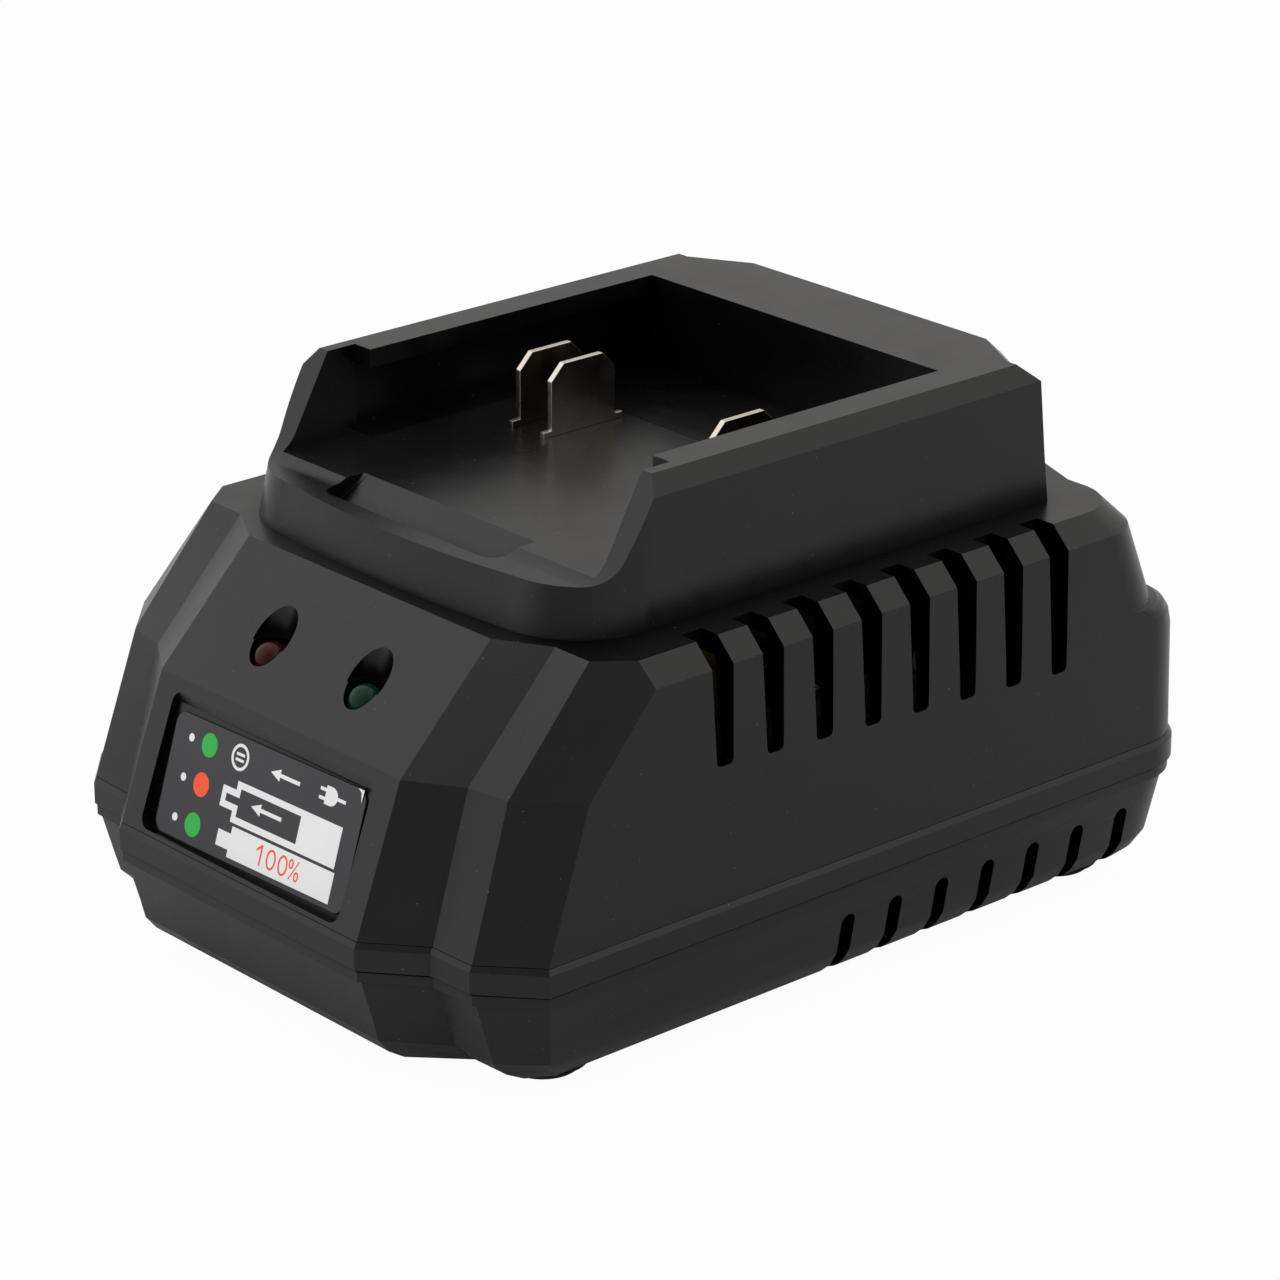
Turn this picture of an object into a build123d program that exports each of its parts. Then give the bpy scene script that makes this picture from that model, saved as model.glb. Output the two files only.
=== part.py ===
from build123d import *
from collections import namedtuple
from math import hypot, sqrt
import os

os.makedirs("parts", exist_ok=True)

# Power tool battery charger, in millimetres. Origin: centre of the footprint on the surface
# it stands on. +Z up, the label faces -Y, the cord leaves towards +Y.

# ---------------------------------------------------------------- heights of the casing
foot_proud = 1.2            # how far the feet stand out of the base
tray_height = 16.8          # lower housing, base to parting line
skirt_height = 3.2          # band around the foot of the upper housing
skirt_bevel = 1.0           # height over which the wall steps in above the band
lower_slope_height = 21.2   # front wall that carries the label
upper_slope_height = 16.0   # front slope that carries the lamps
edge_bevel_height = 3.2     # bevel along both long sides of the deck
floor_rise = 7.8            # deck to the battery bay floor
cradle_height = 21.1        # deck to the top of the cradle walls

# ---------------------------------------------------------------- plan of the casing
corner_width = 4.1          # side facet of each corner pod, across
pod_width = 6.9             # its front facet
pod_slant = 8.0             # and its facet beside the front centre panel
pod_spread = 0.9            # further out by this at the foot
pod_turn_bend = 1.1         # outer end of each pod behind its inner end
pod_turn_foot = 0.3
panel_reach_deck = 45.97    # front of the centre panel, from the origin, at the deck
upper_slope_run = 15.95     # how far the upper slope comes forward, down to the bend
lower_slope_run = 7.95      # how far the lower slope comes forward, down to its foot
pod_setback_deck = 4.5
pod_setback_bend = 5.1
pod_setback_foot = 6.6
corner_setback_deck = 5.05
corner_setback_bevel = 8.42
corner_setback_bend = 8.47
corner_setback_foot = 7.2
side_half_deck = 45.6
edge_bevel_width = 3.2      # bevel along the deck, across
side_lean = 0.6             # how far each side leans out from the bevel to the bend
side_draft = 0.6            # and from the bend to its foot
rear_reach_block = 69.68    # lower rear block that stands out behind the slope
rear_block_step = 5.2       # how far it stands out
rear_lean = 4.6             # how far the rear leans in from the bend to the bevel
rear_lean_top = 2.2         # and from there to the deck
rear_block_round = 4.5      # radius of its top edge
rear_bulge = 3.4            # centre of the rear stands out by this at the deck
rear_bulge_foot = 0.2       # and by this below the slopes
bulge_half = 24.7           # half width of that centre
bulge_ramp = 9.3            # width of the ramps beside it
rear_corner_deck = 8.5
rear_corner_foot = 9.5
skirt_proud = 0.5
wall = 2.4
sloped_wall = 3.2           # front wall, measured level
deck_thickness = 2.4

# ---------------------------------------------------------------- lower housing
rim_inset = 0.4             # band at the top of the tray, behind the skirt band
rim_height = 1.8
tray_step = 0.6             # tray wall, behind its rim
tray_lean = 1.3             # how far the tray wall leans in down to its rounding
tray_lean_front = 2.1
tray_round = 8.0            # rounding between wall and base
tray_round_front = 11.2     # the same, measured level, at the front
pod_tuck = 2.4              # pods recede further by this towards the base
tray_floor = 2.4
lip_height = 1.6            # register lip inside the parting line
lip_wall = 1.1
fit_gap = 0.15              # clearance between mating mouldings

# ---------------------------------------------------------------- ventilation
slot_count = 8
slot_pitch = 9.24
slot_first_y = -24.17
slot_mouth = 3.9            # width at the deck
slot_end_width = 3.0        # width at the lower end
slot_end_z = 42.1           # lower end of the first slot
slot_end_drop = 0.56        # each next slot reaches this much lower
slot_bite = 3.3             # how far the slots cut into the deck
low_slot_count = 7
low_slot_pitch = 9.26
low_slot_first_y = 0.23
low_slot_width = 2.6
low_slot_top = 12.4
low_slot_depth = 11.5       # from the foot of the side wall inwards

# ---------------------------------------------------------------- lamps and label
lamp_inset = 16.1           # from the side of the front centre panel
lamp_drop_run = 8.35        # in front of the deck's edge
lamp_bore = 7.0
lamp_tube_bore = 6.2
lamp_tube_wall = 1.4
lamp_step_z = 49.9
lamp_top_z = 50.2
led_diameter = 5.0
led_flange = 5.8
led_flange_height = 1.0
led_height = 8.6
lamp_post = 5.0             # posts that carry the lamp board
lamp_post_inset = 7.6       # from the side of the front centre panel
lamp_board_end = 3.0        # board beyond the middle of each post
lamp_board_depth = 9.0
recess_inset = 4.3          # from the side of the front centre panel
recess_shift = -0.4
recess_height = 19.2
recess_start = 2.8          # below the bend, along the slope
recess_depth = 0.9          # at its upper edge
recess_lead = 0.9           # its slanted upper wall starts this much higher
recess_slant = 1.5          # and is this long
recess_lean = 0.9           # its floor is steeper than the slope by this, over the slope
recess_corner = 1.8
label_margin = 1.25
label_height = 17.5
label_shift = 0.05          # the sticker sits off the middle of its recess
label_drop = 9.9            # its middle below the upper edge of the recess
label_thickness = 0.3
label_turn = 1.2            # and slightly turned

# ---------------------------------------------------------------- battery cradle
cradle_half = 38.0          # outer half width
cradle_flare = 0.4          # wider by this at its foot
cradle_front = 42.1         # front of its foot beside the bow
cradle_bow = 1.4            # the front bows forward by this
cradle_bow_gain = 0.55      # more at the land
cradle_front_lean = 1.75    # lean of the front wall up to the land
cradle_corner = 13.5
cradle_rear = 48.78         # rear corners at the foot
cradle_rear_lean = 1.7
cradle_bulge = 5.2
cradle_edge = 2.1           # bevel on the outer top edge, across
cradle_edge_height = 2.6
cradle_rear_edge = 3.0
rail_gap_half = 30.5        # half the clear width between the rails
rail_thickness = 2.8
rail_start_y = -20.47
groove_half = 35.2          # half width behind the rails
groove_drop = 0.8
mouth_half = 34.0           # half width in front of the rails
bay_front_y = -34.1         # front edge of the bay floor
bay_back_y = 33.78
land_drop = 0.7             # land in front of the floor lies lower by this
land_ramp_steep = 1.3       # run and drop of the ramp's upper part
land_ramp_steep_drop = 0.5
land_ramp = 2.9             # run of the whole ramp
wall_end_y = -25.47         # front ends of the side walls, at the top
wall_end_lean = 0.563       # their slope, forward travel for each unit down
wall_end_round = 6.0
latch_half = 18.8
latch_shift = -0.5          # the latch pocket sits off centre
latch_y = -30.9
latch_run = 8.0
latch_depth = 4.8
latch_corner = 2.6
latch_ledge = 1.0           # strips of its floor at both ends that fall less
latch_ledge_depth = 4.1
hollow_half = 35.2          # half width of the cradle's hollow underside
opening_corner = 4.0
shelf_y = 14.58
shelf_drop = 0.6
shelf_groove = 1.3
shelf_groove_depth = 1.0
cradle_floor = 2.8
cradle_wall = 2.3
deck_opening_half = 30.0
deck_opening_front = 33.72
deck_opening_rear = 41.28
spigot_depth = 3.2
spigot_wall = 1.6

# ---------------------------------------------------------------- contacts
blade_places = {"left_outer": -20.7, "left_inner": -13.7, "right": 20.7}
blade_y = 5.08              # centre of each blade
blade_width = 12.2
blade_height = 10.7         # above the bay floor
blade_thickness = 1.0
blade_corner = 2.4
blade_shoulder = 1.5
blade_shoulder_height = 0.9
blade_tail_width = 6.0
blade_tail_length = 13.0
blade_gap = 0.1
block_half = 27.0
block_wall = 2.4
block_height = 5.4
block_screw_x = 5.0         # each side of the centre
block_screw_length = 7.4

# ---------------------------------------------------------------- screws and feet
screw_shank = 3.0
screw_head = 5.6
screw_head_height = 2.0
screw_clearance = 0.2
housing_screw_length = 22.0
housing_boss = 8.0
housing_screw_inset = 23.0  # from the foot of the side wall
housing_screw_inset_front = 19.15
housing_screw_inset_rear = 16.4
head_recess_depth = 5.0
boss_joint_rise = 3.0       # joint of the bosses above the parting line
front_boss_drop = 10.5      # top of the front bosses below the deck
rear_boss_drop = 2.0
small_screw_shank = 2.2
small_screw_head = 4.4
small_screw_head_height = 1.6
board_screw_length = 6.0
cradle_screw_length = 7.0
cradle_post = 5.6
cradle_screw_x = 33.4
cradle_screw_front_y = -20.72
cradle_screw_rear_y = 35.28
foot_inset = 13.1           # from the foot of the side wall
foot_inset_front = 23.75
foot_inset_rear = 15.4
foot_diameter = 10.4
foot_seat_depth = 1.2
foot_seat_wall = 1.2
foot_seat_height = 3.4
foot_edge = 0.5

# ---------------------------------------------------------------- cord inlet
inlet_bore = 6.8
inlet_neck = 11.0
inlet_flange = 15.0
inlet_flange_thickness = 2.2
inlet_mouth = 0.8

# ---------------------------------------------------------------- electronics
board_inset = 12.0          # from the foot of the side wall
board_inset_front = 32.15
board_inset_rear = 24.4
board_thickness = 1.6
board_rise = 6.4            # standoffs above the tray floor
standoff = 6.0
standoff_inset = 4.5
leg = 0.8                   # round legs of the parts, soldered to the board

core_x = 6.0                # transformer
core_y = -14.72
core_width = 30.0
core_height = 28.0
core_depth = 12.0
core_leg = 8.0
core_yoke = 4.0
bobbin_wall = 1.0
winding_build = 4.8
winding_gap = 0.8           # winding to bobbin edge

choke_x = -20.5
choke_y = 7.28
choke_outer = 20.0
choke_inner = 10.0
choke_height = 8.0
choke_wire = 1.4
choke_rise = 1.6            # winding clear of the board
choke_arc = 130.0           # degrees that each half of the winding covers

bulk_x = -22.0              # input capacitor
bulk_y = -20.72
bulk_diameter = 16.0
bulk_height = 26.0
output_cap_x = 20.0
output_cap_first_y = 19.28
output_cap_pitch = 11.5
output_cap_count = 2
output_cap_diameter = 10.0
output_cap_height = 18.0
crimp_depth = 0.5
crimp_height = 2.0
sleeve_edge = 0.8

sink_x = 30.0               # inner face of the heat sink
sink_front_y = -18.72
sink_length = 46.0
sink_height = 26.0
sink_plate = 3.0
sink_fin = 4.4
sink_fin_thickness = 1.4
sink_fin_count = 7
tab_width = 10.0            # power devices with a metal tab
tab_height = 15.4
tab_thickness = 1.3
device_thickness = 4.4
device_height = 9.0
device_rise = 7.0           # above the board
device_leg_pitch = 2.54
device_y = {"power_transistor": -6.72, "output_rectifier": 15.28}
device_screw_shank = 3.0
device_screw_head = 5.4
device_screw_head_height = 2.0
device_screw_drop = 2.6     # below the top of the tab

bridge_x = -33.0
bridge_y = -8.72
bridge_length = 15.0
bridge_thickness = 3.6
bridge_height = 10.0
bridge_rise = 2.0
filter_cap_x = -20.0
filter_cap_y = 26.28
filter_cap_length = 18.0
filter_cap_width = 8.0
filter_cap_height = 14.0
fuse_x = -35.0
fuse_y = 17.28
fuse_diameter = 5.2
fuse_length = 20.0
fuse_cap = 5.0
fuse_axis_rise = 5.0
clip_width = 4.0
clip_wall = 0.5
varistor_x = -4.0
varistor_y = 33.28
varistor_diameter = 10.0
varistor_thickness = 4.0
varistor_rise = 2.0
chip_rise = 0.4
chip_leg_pitch = 2.54
optocoupler = (-3.0, 7.28, 6.5, 4.8, 3.5)         # x, y, width, length, height
control_chip = (8.0, 11.28, 6.4, 9.4, 3.4)
optocoupler_leg_count = 2                         # a side
control_chip_leg_count = 4

header_pitch = 3.5          # wire headers
header_depth = 6.0
header_height = 8.0
header_wall = 0.9
header_floor = 2.0
mains_header_inset = 5.0    # from the rear edge of the board
output_header = (8.0, 25.28)                      # x, y
lamp_header = (0.0, -33.72)
mains_header_pin_count = 2
output_header_pin_count = 3
lamp_header_pin_count = 3
lead_diameter = 2.0
lead_low_z = 36.0           # level at which the contact leads cross the board
lead_bend = 4.0
ribbon_thickness = 1.2
ribbon_bend = 4.5
ribbon_low_z = 25.0

pod_outer = side_half_deck - corner_width
pod_inner = pod_outer - pod_width
panel_half = pod_inner - pod_slant
lamp_offset = panel_half - lamp_inset
lamp_post_x = panel_half - lamp_post_inset
lamp_board_half = lamp_post_x + lamp_board_end
recess_half = panel_half - recess_inset
label_half = recess_half - label_margin
panel_reach_bend = panel_reach_deck + upper_slope_run
panel_reach_foot = panel_reach_bend + lower_slope_run
side_half_bevel = side_half_deck + edge_bevel_width
side_half_bend = side_half_bevel + side_lean
side_half_foot = side_half_bend + side_draft
rear_reach_bend = rear_reach_block - rear_block_step
rear_reach_bevel = rear_reach_bend - rear_lean
rear_reach_deck = rear_reach_bevel - rear_lean_top

base_z = foot_proud
floor_z = base_z + tray_floor
parting_z = base_z + tray_height
skirt_z = parting_z + skirt_height
wall_foot_z = skirt_z + skirt_bevel
bend_z = wall_foot_z + lower_slope_height
deck_z = bend_z + upper_slope_height
bevel_z = deck_z - edge_bevel_height
bay_z = deck_z + floor_rise
land_z = bay_z - land_drop
cradle_z = deck_z + cradle_height
deck_under_z = deck_z - deck_thickness
boss_joint_z = parting_z + boss_joint_rise
board_z = floor_z + board_rise

slot_inner = side_half_deck - slot_bite
low_slot_inner = side_half_foot - low_slot_depth
lamp_y = -panel_reach_deck - lamp_drop_run
housing_screw_x = side_half_foot - housing_screw_inset
housing_screw_front_y = housing_screw_inset_front - panel_reach_foot
housing_screw_rear_y = rear_reach_block - housing_screw_inset_rear
foot_x = side_half_foot - foot_inset
foot_front_y = foot_inset_front - panel_reach_foot
foot_rear_y = rear_reach_block - foot_inset_rear
board_half = side_half_foot - board_inset
board_front_y = board_inset_front - panel_reach_foot
board_rear_y = rear_reach_block - board_inset_rear
mains_header = (0.0, board_rear_y - mains_header_inset)
inlet_y = rear_reach_block + rear_bulge_foot + skirt_proud
inlet_shoulder_y = rear_reach_block - wall - fit_gap - lip_wall
blade_foot_width = blade_width + 2 * blade_shoulder
blade_top_z = bay_z + blade_height
block_screw_places = [(-block_screw_x, blade_y), (block_screw_x, blade_y)]
foot_places = [(x, y) for x in (-foot_x, foot_x) for y in (foot_front_y, foot_rear_y)]
standoff_places = [
    (x, y)
    for x in (standoff_inset - board_half, board_half - standoff_inset)
    for y in (board_front_y + standoff_inset, board_rear_y - standoff_inset)
]
cradle_screw_places = [
    (x, y)
    for x in (-cradle_screw_x, cradle_screw_x)
    for y in (cradle_screw_front_y, cradle_screw_rear_y)
]
board_top_z = board_z + board_thickness
tab_top_z = board_top_z + device_rise + tab_height
header_pin_z = board_top_z + header_height - 1.0


# ================================================================ outlines of the casing

Outline = namedtuple(
    "Outline", "panel_y pod_y pod_end_x pod_end_y corner_y side rear bulge corner"
)


def front(reach, setback, corner_setback, turn=0.0, spread=0.0):
    """Front, pod and side corner places from the reach of the centre panel."""
    pod_y = setback - reach
    return -reach, pod_y, pod_outer + spread, pod_y + turn, pod_y + corner_setback


def blend(low, high, share):
    """Outline that lies a share of the way from one outline to another."""
    return Outline(*(a + (b - a) * share for a, b in zip(low, high)))


def grow(outline, out, out_front=None):
    """Outline moved outwards by a distance, or inwards when it is negative."""
    ahead = out if out_front is None else out_front
    return Outline(
        outline.panel_y - ahead,
        outline.pod_y - ahead,
        outline.pod_end_x,
        outline.pod_end_y - ahead,
        outline.corner_y - 0.6 * ahead,
        outline.side + out,
        outline.rear + out,
        outline.bulge + out,
        outline.corner + 0.5 * out,
    )


def draw(outline, widen=0.0):
    """Draw one level of the casing in the active sketch; widen moves the front facets out."""
    panel_half_here = panel_half + 0.3 * widen
    pod_inner_here = pod_inner + 0.3 * widen
    pod_outer_here = outline.pod_end_x + 0.5 * widen
    arc_x = outline.side - outline.corner
    arc_y = outline.rear - outline.corner
    ramp_x = bulge_half + bulge_ramp
    with BuildLine() as edge:
        Polyline(
            (-panel_half_here, outline.panel_y),
            (panel_half_here, outline.panel_y),
            (pod_inner_here, outline.pod_y),
            (pod_outer_here, outline.pod_end_y),
            (outline.side, outline.corner_y),
            (outline.side, arc_y),
        )
        CenterArc((arc_x, arc_y), outline.corner, 0, 90)
        Polyline(
            (arc_x, outline.rear),
            (ramp_x, outline.rear),
            (bulge_half, outline.bulge),
            (-bulge_half, outline.bulge),
            (-ramp_x, outline.rear),
            (-arc_x, outline.rear),
        )
        CenterArc((-arc_x, arc_y), outline.corner, 90, 90)
        Polyline(
            (-outline.side, arc_y),
            (-outline.side, outline.corner_y),
            (-pod_outer_here, outline.pod_end_y),
            (-pod_inner_here, outline.pod_y),
            (-panel_half_here, outline.panel_y),
        )
    make_face(edge.edges())


foot_line = Outline(
    *front(panel_reach_foot, pod_setback_foot, corner_setback_foot, pod_turn_foot, pod_spread),
    side_half_foot, rear_reach_block, rear_reach_block + rear_bulge_foot, rear_corner_foot,
)
bend_low_line = Outline(
    *front(panel_reach_bend, pod_setback_bend, corner_setback_bend, pod_turn_bend),
    side_half_bend, rear_reach_block, rear_reach_block + rear_bulge_foot, rear_corner_foot,
)
bend_high_line = bend_low_line._replace(
    rear=rear_reach_bend, bulge=rear_reach_bend + 0.5 * rear_bulge, corner=rear_corner_deck
)
deck_line = Outline(
    *front(panel_reach_deck, pod_setback_deck, corner_setback_deck),
    side_half_deck, rear_reach_deck, rear_reach_deck + rear_bulge, rear_corner_deck,
)
bevel_share = (bevel_z - bend_z) / upper_slope_height
bevel_line = blend(bend_high_line, deck_line, bevel_share)
bevel_line = bevel_line._replace(
    corner_y=bevel_line.pod_y + corner_setback_bevel,
    side=side_half_bevel,
    rear=rear_reach_bevel,
    bulge=rear_reach_bevel + 0.8 * rear_bulge,
)
skirt_line = grow(foot_line, skirt_proud)


def round_steps(radius, count):
    """Level and inset pairs along a quarter round, from its tip to its spring line."""
    for step in range(count + 1):
        rise = radius * (step / count) ** 2
        yield rise, radius - sqrt(radius ** 2 - (radius - rise) ** 2)


inner_foot = grow(foot_line, -wall, -sloped_wall)
inner_bend = grow(bend_high_line, -wall, -sloped_wall)
inner_top_line = blend(bevel_line, deck_line, (deck_under_z - bevel_z) / edge_bevel_height)
inner_top = grow(inner_top_line, -wall - 0.6, -sloped_wall)

screw_places_front = [(x, housing_screw_front_y) for x in (-housing_screw_x, housing_screw_x)]
screw_places_rear = [(x, housing_screw_rear_y) for x in (-housing_screw_x, housing_screw_x)]
screw_places = screw_places_front + screw_places_rear
screw_seat_z = base_z + head_recess_depth

upper_slope = Plane(
    origin=(0, -panel_reach_bend, bend_z),
    x_dir=(1, 0, 0),
    z_dir=(0, -upper_slope_height, upper_slope_run),
)
lower_slope = Plane(
    origin=(0, -panel_reach_bend, bend_z),
    x_dir=(1, 0, 0),
    z_dir=(0, -lower_slope_height, lower_slope_run),
)
label_seat = Plane(
    origin=lower_slope.from_local_coords((0, -recess_start, -recess_depth)),
    x_dir=(1, 0, 0),
    z_dir=(0, -lower_slope_height, lower_slope_run - recess_lean),
)


# ================================================================ upper housing

lamp_places = [(-lamp_offset, lamp_y), (lamp_offset, lamp_y)]
led_y = lamp_y - (lamp_bore - lamp_tube_bore) / 2   # narrow bores touch the front of the wide ones
led_places = [(-lamp_offset, led_y), (lamp_offset, led_y)]
lamp_base_z = lamp_top_z - led_height
tube_low_z = lamp_base_z + led_flange_height + 0.6

# lamp tubes and the posts of the lamp board, cut off flush with the upper slope
with BuildPart() as lamp_tubes:
    with BuildSketch(Plane.XY.offset(tube_low_z)):
        with Locations(*led_places):
            Circle(lamp_tube_bore / 2 + lamp_tube_wall)
    extrude(amount=deck_z - tube_low_z)
    with BuildSketch(Plane.XY.offset(lamp_base_z)):
        with Locations((-lamp_post_x, lamp_y), (lamp_post_x, lamp_y)):
            Circle(lamp_post / 2)
    extrude(amount=deck_z - lamp_base_z)
    split(bisect_by=upper_slope.offset(-0.4), keep=Keep.BOTTOM)

# recess for the label in the lower slope, as a solid to be cut out: its upper wall is slanted
with BuildPart() as label_recess:
    out = 2 * recess_depth + recess_lean
    with BuildSketch(Plane.YZ.offset(recess_shift - recess_half - 1)):
        with BuildLine():
            Polyline(
                *[
                    (corner.Y, corner.Z)
                    for corner in (
                        label_seat.from_local_coords((0, -recess_height - 1, out)),
                        label_seat.from_local_coords((0, -recess_height - 1, 0)),
                        label_seat.from_local_coords((0, recess_lead - recess_slant, 0)),
                        lower_slope.from_local_coords((0, recess_lead - recess_start, 0)),
                        lower_slope.from_local_coords((0, recess_lead - recess_start, out)),
                    )
                ],
                close=True,
            )
        make_face()
    extrude(amount=2 * recess_half + 2)
    with BuildSketch(label_seat.offset(-1)):
        with Locations((recess_shift, (recess_lead - recess_height) / 2)):
            RectangleRounded(2 * recess_half, recess_height + recess_lead, recess_corner)
    extrude(amount=out + 2, mode=Mode.INTERSECT)

with BuildPart() as upper_housing:
    # the wall, ruled from level to level, with the rounded top of the rear block
    with BuildSketch(Plane.XY.offset(parting_z)):
        draw(skirt_line)
    with BuildSketch(Plane.XY.offset(skirt_z)):
        draw(skirt_line)
    with BuildSketch(Plane.XY.offset(wall_foot_z)):
        draw(foot_line)
    for rise, inset in reversed(list(round_steps(rear_block_round, 4))):
        level = bend_z - rise
        share = (level - wall_foot_z) / lower_slope_height
        line = blend(foot_line, bend_low_line, share)
        block_rear = max(line.rear - inset, rear_reach_bend)
        block_bulge = max(block_rear + rear_bulge_foot, bend_high_line.bulge)
        with BuildSketch(Plane.XY.offset(level)):
            draw(line._replace(rear=block_rear, bulge=block_bulge))
    with BuildSketch(Plane.XY.offset(bevel_z)):
        draw(bevel_line)
    with BuildSketch(Plane.XY.offset(deck_z)):
        draw(deck_line)
    loft(ruled=True)

    # the hollow, open at the parting line
    with BuildSketch(Plane.XY.offset(parting_z)):
        draw(inner_foot, -wall)
    with BuildSketch(Plane.XY.offset(bend_z)):
        draw(inner_bend, -wall)
    with BuildSketch(Plane.XY.offset(deck_under_z)):
        draw(inner_top, -wall)
    loft(ruled=True, mode=Mode.SUBTRACT)

    # opening under the cradle, which its spigot drops into
    with BuildSketch(Plane.XY.offset(deck_z)):
        with Locations((0, (deck_opening_rear - deck_opening_front) / 2)):
            Rectangle(2 * deck_opening_half, deck_opening_front + deck_opening_rear)
        fillet(vertices(), opening_corner)
    extrude(amount=-2 * deck_thickness, mode=Mode.SUBTRACT)

    # bosses for the housing screws, down to the joint with the tray bosses
    for places, drop in ((screw_places_front, front_boss_drop), (screw_places_rear, rear_boss_drop)):
        with BuildSketch(Plane.XY.offset(boss_joint_z)):
            with Locations(*places):
                Circle(housing_boss / 2)
        extrude(amount=deck_z - drop - boss_joint_z)
    with BuildSketch(Plane.XY.offset(boss_joint_z)):
        with Locations(*screw_places):
            Circle(screw_shank / 2)
    extrude(amount=screw_seat_z + housing_screw_length + 2.0 - boss_joint_z, mode=Mode.SUBTRACT)

    # bores for the screws that hold the cradle
    with BuildSketch(Plane.XY.offset(deck_z)):
        with Locations(*cradle_screw_places):
            Circle(small_screw_shank / 2 + screw_clearance)
    extrude(amount=-2 * deck_thickness, mode=Mode.SUBTRACT)

    # side ventilation slots, from the deck down through the bevel and the wall
    for index in range(slot_count):
        centre_y = slot_first_y + index * slot_pitch
        end_z = slot_end_z - index * slot_end_drop
        for side in (1, -1):
            with BuildSketch(Plane.YZ.offset(side * slot_inner)) as slot:
                with BuildLine():
                    Polyline(
                        (centre_y - slot_end_width / 2, end_z),
                        (centre_y + slot_end_width / 2, end_z),
                        (centre_y + slot_mouth / 2, bevel_z),
                        (centre_y + slot_mouth / 2, deck_z + 1),
                        (centre_y - slot_mouth / 2, deck_z + 1),
                        (centre_y - slot_mouth / 2, bevel_z),
                        close=True,
                    )
                make_face()
                fillet(slot.vertices().group_by(Axis.Y)[0], 0.8)
            extrude(amount=side * 20, mode=Mode.SUBTRACT)

    # stepped bores of the lamps and pilot bores of the lamp board
    add(lamp_tubes.part)
    with BuildSketch(Plane.XY.offset(tube_low_z)):
        with Locations(*led_places):
            Circle(lamp_tube_bore / 2)
    extrude(amount=deck_z - tube_low_z, mode=Mode.SUBTRACT)
    with BuildSketch(Plane.XY.offset(lamp_step_z)):
        with Locations(*lamp_places):
            Circle(lamp_bore / 2)
    extrude(amount=deck_z - lamp_step_z, mode=Mode.SUBTRACT)
    with BuildSketch(Plane.XY.offset(lamp_base_z)):
        with Locations((-lamp_post_x, lamp_y), (lamp_post_x, lamp_y)):
            Circle(small_screw_shank / 2)
    extrude(amount=board_screw_length - board_thickness + 0.4, mode=Mode.SUBTRACT)

    add(label_recess.part, mode=Mode.SUBTRACT)

    # notch over the cord inlet
    with BuildSketch(Plane.XZ.offset(-inlet_y - 1)):
        with Locations((0, parting_z)):
            Circle(inlet_neck / 2)
    extrude(amount=wall + 4, mode=Mode.SUBTRACT)
upper_housing.part.label = "upper_housing"
export_step(upper_housing.part, "parts/upper_housing.step")


# ================================================================ lower housing

rim_line = grow(skirt_line, -rim_inset)
under_rim = grow(rim_line, -tray_step)
spring_line = grow(under_rim, -tray_lean, -tray_lean_front)
front_share = tray_round_front / tray_round


def tray_level(inset, share, inward=0.0):
    """Level of the tray's rounding: inset from its spring line, with its pods tucked in."""
    level = grow(spring_line, -inset - inward, -inset * front_share - inward)
    back = pod_tuck * share
    return level._replace(
        pod_y=level.pod_y + back, pod_end_y=level.pod_end_y + back, corner_y=level.corner_y + back
    )


lip_out = grow(inner_foot, -fit_gap)
lip_out_top = grow(blend(inner_foot, inner_bend, lip_height / (bend_z - parting_z)), -fit_gap)

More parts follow.
